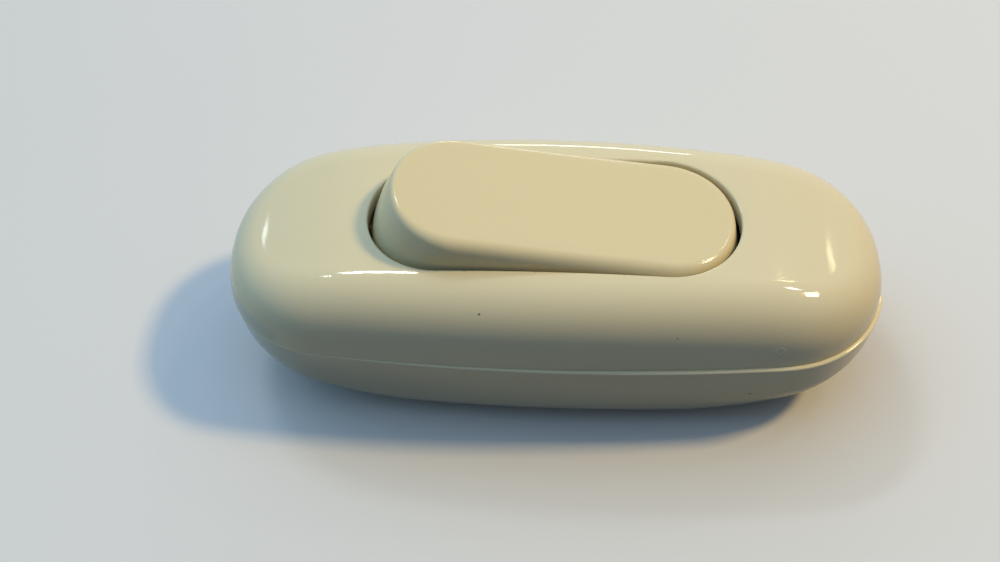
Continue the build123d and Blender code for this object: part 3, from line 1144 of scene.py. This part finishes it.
@dataclass
class Shell:
    """One moulded half of the housing.

    Attributes:
        plan: the plan.
        palette: the finishes.
        solid: the half's solid, whose inner forms are kept.
        line: side view of the crown or keel.
        level: height of the crown or keel in the middle.
        facing: 1 for the half above the seam, -1 for the one below.
        draft: lean of the wall in degrees.
        step: how far the wall stands back from the plan at the seam.
        roll_r: radius of the roll between the wall and the crown or keel.
        roll_steps: steps over the roll.
        roll_rounds: rounds in which the roll's centre is found.
        wall_shares: where the rings up the wall lie, in parts of it.
        fold_reach: how far the folded line stays from the ends, in parts of its half width.
        clear: gap between the inner forms and the holes.
        bite: how far the inner forms reach into the wall.
        inner_steps: rings over the inside of the crown or keel.
    """

    plan: HousingPlan
    palette: Palette
    solid: Piece
    line: BentLine
    level: float
    facing: int
    draft: float
    step: float = 0.0
    roll_r: float = 6.5
    roll_steps: int = 14
    roll_rounds: int = 60
    wall_shares: tuple[float, ...] = (0.0, 0.3, 0.6, 0.85)
    fold_reach: float = 0.8
    clear: float = 0.03
    bite: float = 0.15
    inner_steps: int = 8

    def cutters(self, margin: float) -> list[Piece]:
        """Makes the tools for every hole that reaches the shell's outside."""
        return self.plan.inlet_cutters(margin)

    def inset_at(self, height: float) -> float:
        """How far the drafted wall lies inside the plan at a height."""
        return self.step + abs(height - self.plan.seam) * math.tan(math.radians(self.draft))

    def ball(self, spot: RimPoint, inset: float) -> Vector:
        """Centre of the roll that joins the wall to the crown or keel.

        Args:
            spot: place around the plan.
            inset: how far inside the outer surface.

        Returns:
            The centre.
        """
        radius = self.roll_r - inset
        slant = radius / math.cos(math.radians(self.draft))
        height = self.level - self.facing * (radius + inset)
        for _ in range(self.roll_rounds):
            centre = spot.at(self.inset_at(height) + inset + slant, height)
            sunk = inset + radius + self.line.drop(centre.x, radius + inset)
            height += (self.level - self.facing * sunk - height) * 0.5
        return Vector((centre.x, centre.y, height))

    def wall_way(self, spot: RimPoint) -> Vector:
        """Outward direction of the drafted wall."""
        lean = math.radians(self.draft)
        return spot.way.to_3d() * math.cos(lean) + Vector((0, 0, self.facing * math.sin(lean)))

    def far_way(self, x: float, inset: float) -> Vector:
        """Outward direction of the crown or keel at a distance along the housing."""
        slope = self.line.slope(x, inset)
        return Vector((math.copysign(math.sin(slope), x), 0, self.facing * math.cos(slope)))

    def surface(self, x: float, inset: float) -> float:
        """Height of the crown or keel at a distance along the housing."""
        return self.level - self.facing * (inset + self.line.drop(x, inset))

    def flank(self, start: float, inset: float) -> list[Ring]:
        """Rings up the wall and over the roll.

        Args:
            start: height of the first ring.
            inset: how far inside the outer surface.

        Returns:
            The rings, from the seam side to the crown or keel.
        """
        radius = self.roll_r - inset
        balls = [self.ball(spot, inset) for spot in self.plan.rim]
        walls = [self.wall_way(spot) for spot in self.plan.rim]
        fars = [self.far_way(ball.x, self.roll_r) for ball in balls]
        touches = [ball + way * radius for ball, way in zip(balls, walls)]
        feet = [spot.at(self.inset_at(start) + inset, start) for spot in self.plan.rim]
        rings: list[Ring] = []
        for share in self.wall_shares:
            rings.append([foot.lerp(touch, share) for foot, touch in zip(feet, touches)])
        for share in (0.0, *shares(self.roll_steps)):
            places = zip(balls, walls, fars)
            rings.append([ball + turned(wall, far, share) * radius for ball, wall, far in places])
        return rings

    def plateau(self, start: Ring, end: Ring, inset: float, steps: int) -> list[Ring]:
        """Rings over the crown or keel between two closed lines.

        Args:
            start: the line where the surface begins.
            end: the line where it ends.
            inset: how far inside the outer surface.
            steps: number of rings.

        Returns:
            The rings after the first line, up to the second.
        """
        rings = []
        for share in shares(steps):
            ring = []
            for first, second in zip(start, end):
                x = first.x + (second.x - first.x) * share
                y = first.y + (second.y - first.y) * share
                ring.append(Vector((x, y, self.surface(x, inset))))
            rings.append(ring)
        return rings

    def spine(self, ring: Ring, inset: float) -> Ring:
        """Folds a closed line onto the housing's centre line.

        Args:
            ring: the closed line.
            inset: how far inside the outer surface.

        Returns:
            The folded line.
        """
        widest = max(abs(point.y) for point in ring)
        longest = max(abs(point.x) for point in ring)
        share = (longest - widest * self.fold_reach) / longest
        folded = []
        for place, point in enumerate(ring):
            x = (point.x + ring[-place % len(ring)].x) / 2 * share
            folded.append(Vector((x, 0, self.surface(x, inset))))
        return folded

    def cavity(self) -> Piece:
        """Makes the space inside the shell, reaching a little way into its wall.

        Returns:
            The space as a closed form.
        """
        inset = self.plan.wall - self.bite
        walls = self.flank(self.plan.seam, inset)
        middle = [Vector((p.x, 0, self.plan.seam)) for p in self.spine(walls[0], inset)]
        far = self.plateau(walls[-1], self.spine(walls[-1], inset), inset, self.inner_steps)
        return Workshop.wrap("cavity", [middle, *walls, *far])

    def finish(self, name: str, rings: Sequence[Ring], material: bpy.types.Material) -> None:
        """Makes the wall, adds the inner forms, then dresses and seats the shell.

        Args:
            name: name of the shell.
            rings: rings over the wall, outside and inside.
            material: its finish.
        """
        skin = Workshop.wrap(name, rings)
        Workshop.carve(skin, self.cutters(0.0))
        inner = Workshop.contents(self.solid, self.cavity())
        Workshop.carve(inner, self.cutters(self.clear))
        piece = Workshop.join(name, [skin, inner])
        Workshop.complete(piece, material)
        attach(piece, "housing")
        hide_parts(self.solid.name)


@dataclass
class CoverShell(Shell):
    """Upper shell with the rocker's opening.

    Attributes:
        opening_length: length of the opening.
        opening_width: width of the opening.
        lip_r: radius of the opening's upper edge.
        lip_steps: rings over that edge.
        crown_steps: rings over the crown.
        roof_steps: rings over the inside of the crown.
    """

    line: BentLine = BentLine(46.0, 330.0, 68.0)
    level: float = 24.6
    facing: int = 1
    draft: float = 2.5
    step: float = 0.5
    opening_length: float = 48.2
    opening_width: float = 19.5
    lip_r: float = 0.3
    lip_steps: int = 5
    crown_steps: int = 12
    roof_steps: int = 6

    def opening(self, offset: float, inset: float) -> Ring:
        """Closed line around the opening on the crown.

        Args:
            offset: how far outside the opening's wall.
            inset: how far inside the outer surface.

        Returns:
            The line, with as many points as the plan.
        """
        radius = self.opening_width / 2
        straight = (self.opening_length - self.opening_width) / 2
        quarter = radius * QUARTER_TURN
        count = self.plan.around // 4
        corner = []
        for step in range(count + 1):
            travel = (quarter + straight) * step / count
            angle = min(travel / radius, QUARTER_TURN)
            x = straight - max(travel - quarter, 0.0) + math.cos(angle) * (radius + offset)
            corner.append(Vector((x, math.sin(angle) * (radius + offset), 0)))
        return [Vector((p.x, p.y, self.surface(p.x, inset))) for p in mirrored(corner)]

    def build(self) -> None:
        """Builds the cover."""
        seam, wall = self.plan.seam, self.plan.wall
        outside, inside = self.flank(seam, 0.0), self.flank(seam, wall)
        rings = outside + self.plateau(
            outside[-1], self.opening(self.lip_r, 0.0), 0.0, self.crown_steps
        )
        for share in shares(self.lip_steps):
            angle = share * QUARTER_TURN
            sink = self.lip_r * (1 - math.cos(angle))
            ring = self.opening(self.lip_r * (1 - math.sin(angle)), 0.0)
            rings.append([Vector((p.x, p.y, p.z - sink)) for p in ring])
        inner_lip = self.opening(0.0, wall)
        rings.append([outer.lerp(inner, 0.5) for outer, inner in zip(rings[-1], inner_lip)])
        rings.append(inner_lip)
        rings += self.plateau(inner_lip, inside[-1], wall, self.roof_steps)
        self.finish("cover", [*rings, *inside[-2::-1], outside[0]], self.palette.cover)


@dataclass
class BaseShell(Shell):
    """Lower shell with the proud rim of the seam and two sunk screw seats.

    Attributes:
        rim_r: radius of the rim's edge at the seam.
        rim_steps: rings over that edge.
        keel_steps: rings over the keel.
        screw_x: distance of the screws along the housing.
        screw_y: distance of the screws across the housing.
        recess_r: radius of the sunk seats.
        recess_top: height of their floor.
        recess_edge: size of their broken edge.
        recess_start: height below the keel at which their tool starts.
    """

    line: BentLine = BentLine(32.0, 0.0, 48.0)
    level: float = 0.0
    facing: int = -1
    draft: float = 5.0
    rim_r: float = 0.3
    rim_steps: int = 4
    keel_steps: int = 14
    screw_x: float = 27.4
    screw_y: float = 8.8
    recess_r: float = 3.1
    recess_top: float = 4.2
    recess_edge: float = 0.35
    recess_start: float = -1.0

    def build(self) -> None:
        """Builds the base."""
        seam, wall = self.plan.seam, self.plan.wall
        outside, inside = self.flank(seam - self.rim_r, 0.0), self.flank(seam, wall)
        edge, roof = outside[-1], inside[-1]
        below = self.plateau(edge, self.spine(edge, 0.0), 0.0, self.keel_steps)
        rings = [*reversed(below), *reversed(outside)]
        for share in shares(self.rim_steps):
            angle = share * QUARTER_TURN
            inset = self.rim_r * (1 - math.cos(angle))
            height = seam - self.rim_r * (1 - math.sin(angle))
            rings.append([spot.at(inset, height) for spot in self.plan.rim])
        above = self.plateau(roof, self.spine(roof, wall), wall, self.inner_steps)
        self.finish("base", [*rings, *inside, *above], self.palette.base)

    def cutters(self, margin: float) -> list[Piece]:
        """Adds the tools that sink the two screw seats with a broken edge.

        Args:
            margin: how much wider than the holes they cut.

        Returns:
            The tools.
        """
        tools = super().cutters(margin)
        radius = self.recess_r + margin
        for side in (1, -1):
            x, y = side * self.screw_x, -side * self.screw_y
            lip = self.surface(x, 0.0)
            low, high, foot, tip = (
                Vector((x, y, height))
                for height in (
                    self.recess_start,
                    self.recess_top,
                    lip - self.recess_edge,
                    lip + self.recess_edge,
                )
            )
            tools.append(Workshop.rod("recess_tool", low, high, radius))
            tools.append(Workshop.rod("edge_tool", foot, tip, radius + 2 * self.recess_edge, radius))
        return tools


# ---------------------------------------------------------------- rocker


@dataclass
class Rocker:
    """Long rocker that swings about a pin across the housing.

    Attributes:
        palette: the finishes.
        solid: the rocker's solid, whose inner forms are kept.
        pivot: height of the pin.
        tilt: turn about the pin at rest in degrees.
        width: over all.
        swing_r: distance of the ends from the pin.
        squareness: 2 for round ends, more for squarer ones.
        top: height of the dished top above the pin.
        dish: how much the top rises towards the ends.
        dish_reach: distance from the middle at which it has risen that much.
        skirt: how far the walls reach below the pin.
        wall: thickness of the walls.
        plate: thickness of the top.
        bite: how far the inner forms reach into the walls.
        side_edge_r: radius of the top edge along the sides.
        end_edge_r: radius of the top edge at the ends.
        edge_steps: steps over the top edge.
        pin_r: radius of the pins.
        pin_root: how far the pins reach into the walls from outside.
        pin_reach: distance of the pins' tips from the middle.
        pin_edge: size of the broken edge at the tips.
        pin_corners: flats around the pins.
        around: points around the rocker.
        fold_steps: rings that close the top.
        outer_levels: heights of the outer rings below the top edge, above the skirt.
        inner_levels: heights of the inner rings below the roof, above the skirt.
    """

    palette: Palette
    solid: Piece
    pivot: float = 16.8
    tilt: float = 7.9
    width: float = 19.0
    swing_r: float = 24.2
    squareness: float = 2.1
    top: float = 9.86
    dish: float = 0.45
    dish_reach: float = 26.4
    skirt: float = 2.6
    wall: float = 1.7
    plate: float = 2.0
    bite: float = 0.1
    side_edge_r: float = 1.6
    end_edge_r: float = 0.7
    edge_steps: int = 12
    pin_r: float = 2.0
    pin_root: float = 0.6
    pin_reach: float = 12.35
    pin_edge: float = 0.25
    pin_corners: int = 48
    around: int = 240
    fold_steps: int = 9
    outer_levels: tuple[float, ...] = (-1.0, 1.5, 4.0, 6.5)
    inner_levels: tuple[float, ...] = (0.0, 3.0, 6.0)

    def frame(self) -> Matrix:
        """Turn and place of the rocker as it rests.

        Returns:
            The matrix that moves its mesh, in metres, from upright on the pin to its place.
        """
        turn = Matrix.Rotation(math.radians(self.tilt), 4, "Y")
        rest = Matrix.Translation(Vector((0, 0, self.pivot))) @ turn
        return Matrix.Scale(MM, 4) @ rest @ Matrix.Scale(1 / MM, 4)

    def quarter(self) -> list[float]:
        """Shares from 0 to 1 along a quarter of the rocker's outline."""
        return [0.0, *shares(self.around // 4)]

    def corner_spot(self, share: float, height: float, inset: float) -> tuple[Vector, Vector]:
        """Place on the quarter between the end and the middle of a long side.

        Args:
            share: 0 at the end, 1 at the middle of the long side.
            height: height above the pin.
            inset: how far inside the side wall.

        Returns:
            The point and its outward direction.
        """
        half = self.width / 2 - inset
        reach = math.sqrt((self.swing_r - inset) ** 2 - height**2)
        straight = reach - half
        quarter = half * QUARTER_TURN
        travel = (quarter + straight) * share
        across = Vector((0, 1, 0))
        if travel > quarter:
            return Vector((max(quarter + straight - travel, 0.0), half, height)), across
        along, aside = max(math.cos(travel / half), 0.0), math.sin(travel / half)
        bend = 2 / self.squareness
        point = Vector((straight + half * along**bend, half * aside**bend, height))
        endways = Vector((reach, 0, height)).normalized()
        way = endways * along ** (2 - bend) + across * aside ** (2 - bend)
        return point, way.normalized()

    def outline(self, height: float, inset: float) -> Ring:
        """Line around the rocker at a height above its pin.

        Args:
            height: height above the pin.
            inset: how far inside the side wall.

        Returns:
            The line.
        """
        return mirrored([self.corner_spot(share, height, inset)[0] for share in self.quarter()])

    def crown(self, x: float) -> float:
        """Height of the dished top above the pin."""
        return self.top + self.dish * (x / self.dish_reach) ** 2

    def crown_way(self, x: float) -> Vector:
        """Outward direction of the dished top."""
        return Vector((-2 * self.dish * x / self.dish_reach**2, 0, 1)).normalized()

    def edge_rings(self) -> list[Ring]:
        """Rings over the rolled top edge, which is tighter at the ends than along the sides.

        Returns:
            The rings from the wall to the top.
        """
        corners: list[Ring] = [[] for _ in range(self.edge_steps + 1)]
        for share in self.quarter():
            _, way = self.corner_spot(share, self.top, 0.0)
            radius = self.side_edge_r + (self.end_edge_r - self.side_edge_r) * way.x**2
            x = self.corner_spot(share, self.top, radius)[0].x
            centre, way = self.corner_spot(share, self.crown(x) - radius, radius)
            for turn, corner in enumerate(corners):
                bent = turned(way, self.crown_way(centre.x), turn / self.edge_steps)
                corner.append(centre + bent * radius)
        return [mirrored(corner) for corner in corners]

    def fold(self, ring: Ring, height: Callable[[float], float]) -> list[Ring]:
        """Rings that close a line over the rocker's centre line.

        Args:
            ring: the closed line.
            height: height of the surface at a distance along the rocker.

        Returns:
            The rings after the line, ending on the centre line.
        """
        longest = max(point.x for point in ring)
        share = (longest - self.width / 2 + self.side_edge_r) / longest
        rings = []
        for step in shares(self.fold_steps):
            closed = []
            for point in ring:
                x = point.x * (1 - step) + point.x * share * step
                closed.append(Vector((x, point.y * (1 - step), height(x))))
            rings.append(closed)
        return rings

    def cavity(self, roof: float) -> Piece:
        """Makes the space inside the rocker, reaching a little way into its walls.

        Args:
            roof: height of its upper end above the pin.

        Returns:
            The space as a closed form.
        """
        levels = (-self.skirt, *self.inner_levels, roof)
        rings = [self.outline(height, self.wall - self.bite) for height in levels]
        below = self.fold(rings[0], lambda x: -self.skirt)
        above = self.fold(rings[-1], lambda x: roof)
        return Workshop.wrap("cavity", [*reversed(below), *rings, *above])

    def skin(self, roof: float) -> Piece:
        """Makes the rocker's top and walls.

        Args:
            roof: height of the inner roof above the pin.

        Returns:
            The hollow form, upright on the pin.
        """
        outer = [self.outline(height, 0.0) for height in (-self.skirt, *self.outer_levels)]
        outer += self.edge_rings()
        outer += self.fold(outer[-1], self.crown)
        levels = (-self.skirt, *self.inner_levels, roof)
        inner = [self.outline(height, self.wall) for height in levels]
        inner += self.fold(inner[-1], lambda x: roof)
        return Workshop.wrap("rocker_cap", [*reversed(inner), *outer])

    def pin(self, side: int) -> Piece:
        """Makes one of the two pins.

        Args:
            side: 1 for the rear pin, -1 for the front one.

        Returns:
            The pin.
        """
        root = Vector((0, side * (self.width / 2 - self.pin_root), 0))
        tip = Vector((0, side * self.pin_reach, 0))
        pin = Workshop.rod("rocker_pin", root, tip, self.pin_r, corners=self.pin_corners)
        Workshop.apply(pin, "BEVEL", width=self.pin_edge * MM, segments=2, limit_method="ANGLE")
        return pin

    def build(self) -> None:
        """Builds the rocker's shell with its two pins and what it carries inside."""
        roof = self.top - self.plate
        shell = Workshop.join("rocker_cap", [self.skin(roof), self.pin(-1), self.pin(1)])
        cavity = self.cavity(roof + self.bite)
        for piece in (shell, cavity):
            piece.data.transform(self.frame())
        rocker = Workshop.join("rocker_cap", [shell, Workshop.contents(self.solid, cavity)])
        Workshop.complete(rocker, self.palette.rocker)
        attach(rocker, "rocker")
        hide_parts(self.solid.name)


# ---------------------------------------------------------------- inner parts


@dataclass
class Mechanism:
    """Contacts, terminals, carrier, clamps and screws, which keep their solids."""

    palette: Palette
    nodes: dict[str, Piece]

    def dress(self) -> None:
        """Gives every inner node its finish."""
        carrier, metals = self.palette.carrier, self.palette.metals
        brass, steel, silver = metals[Metal.BRASS], metals[Metal.ZINC_STEEL], metals[Metal.SILVER]
        for_each_pole = {
            "plunger": self.palette.plunger,
            "plunger_spring": metals[Metal.SPRING_STEEL],
            "contact_bridge": brass,
            "bridge_contact": silver,
            "fixed_contact": silver,
            "line_terminal": brass,
            "pivot_terminal": brass,
        }
        finishes = {"contact_carrier": carrier, "earth_terminal": brass}
        finishes |= {f"{kind}_screws": steel for kind in ("terminal", "clamp", "housing")}
        finishes |= {f"cord_clamp_{end.name.lower()}": carrier for end in End}
        for pole in Pole:
            for part, material in for_each_pole.items():
                finishes[f"{part}_{pole.name.lower()}"] = material
        for name, material in finishes.items():
            Workshop.dress(self.nodes[name], material)
            LOG.info("%s dressed", name)


# ---------------------------------------------------------------- studio


DAYLIGHT = (0.90, 0.97, 1.0)


@dataclass(frozen=True)
class Softbox:
    """A rectangular lamp.

    Attributes:
        name: the lamp's name.
        place: its place in metres.
        aim: the point it faces.
        size: width and height in metres.
        power: power in watts.
        tint: colour of the light.
    """

    name: str
    place: Triple
    aim: Triple
    size: tuple[float, float]
    power: float
    tint: Triple = DAYLIGHT

    def build(self) -> None:
        """Adds the lamp."""
        Workshop.clear()
        spot = Vector(self.place)
        turn = (spot - Vector(self.aim)).to_track_quat("Z", "Y").to_euler()
        bpy.ops.object.light_add(type="AREA", location=spot, rotation=turn)
        lamp = bpy.context.object
        lamp.name = self.name
        lamp.data.shape = "RECTANGLE"
        lamp.data.size, lamp.data.size_y = self.size
        lamp.data.energy = self.power
        lamp.data.color = self.tint


@dataclass(frozen=True)
class SkyLobe:
    """Light from one part of the sky, which fades evenly away from it.

    Attributes:
        way: direction of its brightest part.
        colour: its brightest colour.
        sharpness: how fast it fades.
    """

    way: Triple
    colour: Triple
    sharpness: float = 3.0

    def glow(self, bench: ShaderBench, where: Socket) -> Socket:
        """Colour of the lobe in every direction.

        Args:
            bench: the nodes of the world.
            where: the direction that is looked at.

        Returns:
            The colour.
        """
        facing = bench.number("MAXIMUM", bench.measure("DOT_PRODUCT", where, self.way), 0.0)
        return bench.vector("MULTIPLY", self.colour, bench.number("POWER", facing, self.sharpness))


@dataclass
class Studio:
    """Pale floor, soft lamps and the camera.

    Attributes:
        azimuth: turn of the camera about the switch in degrees.
        elevation: height of the camera in degrees.
        roll: turn of the camera about its own line of sight in degrees.
        distance: from the aim to the camera in metres.
        aim: the point in the middle of the view.
        lens: focal length in millimetres.
        sensor: width of the picture in the camera in millimetres.
        nearest: nearest distance that the camera sees in metres.
        floor_size: side of the floor in metres.
        floor_colour: the floor's colour as it is seen.
        floor_bounce: the floor's colour in the light that it sends back.
        floor_fade: distances over which the floor runs into the backdrop.
        floor_mottle: pattern of the floor's faint unevenness.
        mottle_tone: its brightness in parts of the floor's colour.
        floor_roughness: roughness of the floor.
        floor_specular: level of the floor's reflection.
        backdrop: colour that shows behind the floor.
        horizon: light from every direction.
        lobes: light from parts of the sky.
        lamps: the lamps.
    """

    azimuth: float = 5.36
    elevation: float = 51.2
    roll: float = -2.54
    distance: float = 0.1804
    aim: Triple = (-0.00803, 0.00815, 0.0)
    lens: float = 43.71
    sensor: float = 36.0
    nearest: float = 0.005
    floor_size: float = 4.0
    floor_colour: Triple = (0.64, 0.64, 0.635)
    floor_bounce: Triple = (0.14, 0.155, 0.18)
    floor_fade: tuple[float, float] = (0.12, 0.55)
    floor_mottle: Grain = Grain(9.0, 3.0, 0.5)
    mottle_tone: float = 0.985
    floor_roughness: float = 0.85
    floor_specular: float = 0.2
    backdrop: Triple = (0.60, 0.61, 0.61)
    horizon: Triple = (0.03, 0.045, 0.07)
    lobes: tuple[SkyLobe, ...] = (
        SkyLobe((-0.1, 0.35, 0.93), (0.70, 0.96, 1.32)),
        SkyLobe((-0.90, 0.22, 0.38), (0.36, 0.68, 0.90)),
        SkyLobe((0.92, 0.25, 0.30), (0.16, 0.115, 0.06)),
    )
    lamps: tuple[Softbox, ...] = (
        Softbox("key", (0.618, 0.143, 0.773), (0.0, 0.0, 0.01), (0.12, 0.1), 6.0, (1.0, 0.71, 0.29)),
        Softbox("window", (-0.31, 0.5, 0.81), (-0.02, 0.0, 0.02), (0.2, 0.06), 1.2),
        Softbox("pane", (-0.458, 0.345, 0.819), (-0.03, 0.0, 0.02), (0.05, 0.02), 0.08),
        Softbox("vent", (-0.648, 0.624, 0.493), (-0.03, 0.0, 0.02), (0.02, 0.02), 0.014),
        Softbox("door", (0.506, 0.321, 0.839), (0.03, 0.0, 0.02), (0.1, 0.04), 0.3, (1.0, 0.98, 0.94)),
        Softbox("lantern", (0.436, 0.579, 0.729), (0.03, 0.0, 0.02), (0.08, 0.05), 0.2, (1.0, 0.86, 0.5)),
        Softbox("glint", (0.578, 0.63, 0.58), (0.03, 0.0, 0.02), (0.03, 0.016), 0.016, (1.0, 0.85, 0.5)),
        Softbox("rear", (0.02, 0.97, 0.2), (0.0, 0.0, 0.02), (0.3, 0.05), 0.55, (1.0, 0.99, 0.96)),
    )

    @staticmethod
    def direct_rays(bench: ShaderBench) -> Socket:
        """Tells the rays that see a surface or its mirror image from those that light.

        Args:
            bench: the nodes being built.

        Returns:
            One for camera, glossy and transmission rays, and zero for the rest.
        """
        path = bench.add("ShaderNodeLightPath")
        direct = path.outputs["Is Camera Ray"]
        for name in ("Is Glossy Ray", "Is Transmission Ray"):
            direct = bench.number("MAXIMUM", direct, path.outputs[name])
        return direct

    def floor(self) -> None:
        """Lays the pale floor, which runs into the backdrop."""
        Workshop.clear()
        bpy.ops.mesh.primitive_plane_add(size=self.floor_size, location=(0, 0, 0))
        ground = Workshop.settle(bpy.context.object, "floor")
        bench = ShaderBench.fresh("pale_floor")
        mottle = bench.remap(bench.noise(self.floor_mottle), *MID_NOISE, 0.0, 1.0)
        mottled = shaded(self.floor_colour, self.mottle_tone)
        seen = bench.blend(mottle, self.floor_colour, mottled)
        direct = self.direct_rays(bench)
        shown = bench.blend(direct, self.floor_bounce, seen)
        far = bench.remap(bench.measure("LENGTH", bench.place()), *self.floor_fade, 0.0, 1.0)
        bench.shade("Base Color", bench.blend(far, shown, (0.0, 0.0, 0.0)))
        bench.shade("Emission Color", (*self.backdrop, 1.0))
        bench.shade("Emission Strength", bench.number("MULTIPLY", far, direct))
        bench.shade("Roughness", self.floor_roughness)
        bench.shade("Specular IOR Level", self.floor_specular)
        Workshop.dress(ground, bench.owner)

    def sky(self) -> None:
        """Sets a soft light from above that fades towards the horizon, on a pale backdrop."""
        world = bpy.data.worlds.new("surround")
        world.use_nodes = True
        bench = ShaderBench(world)
        where = bench.add("ShaderNodeTexCoord").outputs["Generated"]
        light: Value = self.horizon
        for lobe in self.lobes:
            light = bench.vector("ADD", light, lobe.glow(bench, where))
        shown = bench.blend(self.direct_rays(bench), light, self.backdrop)
        bench.feed(shown, bench.nodes["Background"].inputs["Color"])
        bpy.context.scene.world = world
        bpy.context.scene.view_settings.view_transform = "Standard"

    def camera(self) -> None:
        """Places the camera by its direction, distance and roll."""
        azimuth, elevation, roll = map(math.radians, (self.azimuth, self.elevation, self.roll))
        level_part = math.cos(elevation)
        back = Vector(
            (math.sin(azimuth) * level_part, -math.cos(azimuth) * level_part, math.sin(elevation))
        )
        level = Vector((0, 0, 1)).cross(back).normalized()
        upright = back.cross(level)
        across = level * math.cos(roll) + upright * math.sin(roll)
        up = upright * math.cos(roll) - level * math.sin(roll)
        turn = Matrix((across, up, back)).transposed().to_4x4()
        Workshop.clear()
        bpy.ops.object.camera_add()
        camera = bpy.context.object
        camera.name = "camera"
        camera.matrix_world = Matrix.Translation(Vector(self.aim) + back * self.distance) @ turn
        camera.data.lens = self.lens
        camera.data.sensor_width = self.sensor
        camera.data.clip_start = self.nearest
        bpy.context.scene.camera = camera

    def build(self) -> None:
        """Builds the floor, the lamps, the sky and the camera."""
        self.floor()
        for lamp in self.lamps:
            lamp.build()
        self.sky()
        self.camera()


def main() -> None:
    """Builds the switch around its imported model."""
    logging.basicConfig(level=logging.INFO, format="%(name)s: %(message)s")
    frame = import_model()
    Workshop.clear()
    palette = Palette()
    nodes = frame["nodes"]
    CoverShell(HousingPlan(swell=0.38), palette, nodes["cover_shell"]).build()
    BaseShell(HousingPlan(), palette, nodes["base_shell"]).build()
    Rocker(palette, nodes["rocker"]).build()
    Mechanism(palette, nodes).dress()
    Studio().build()


if __name__ == "__main__":
    main()
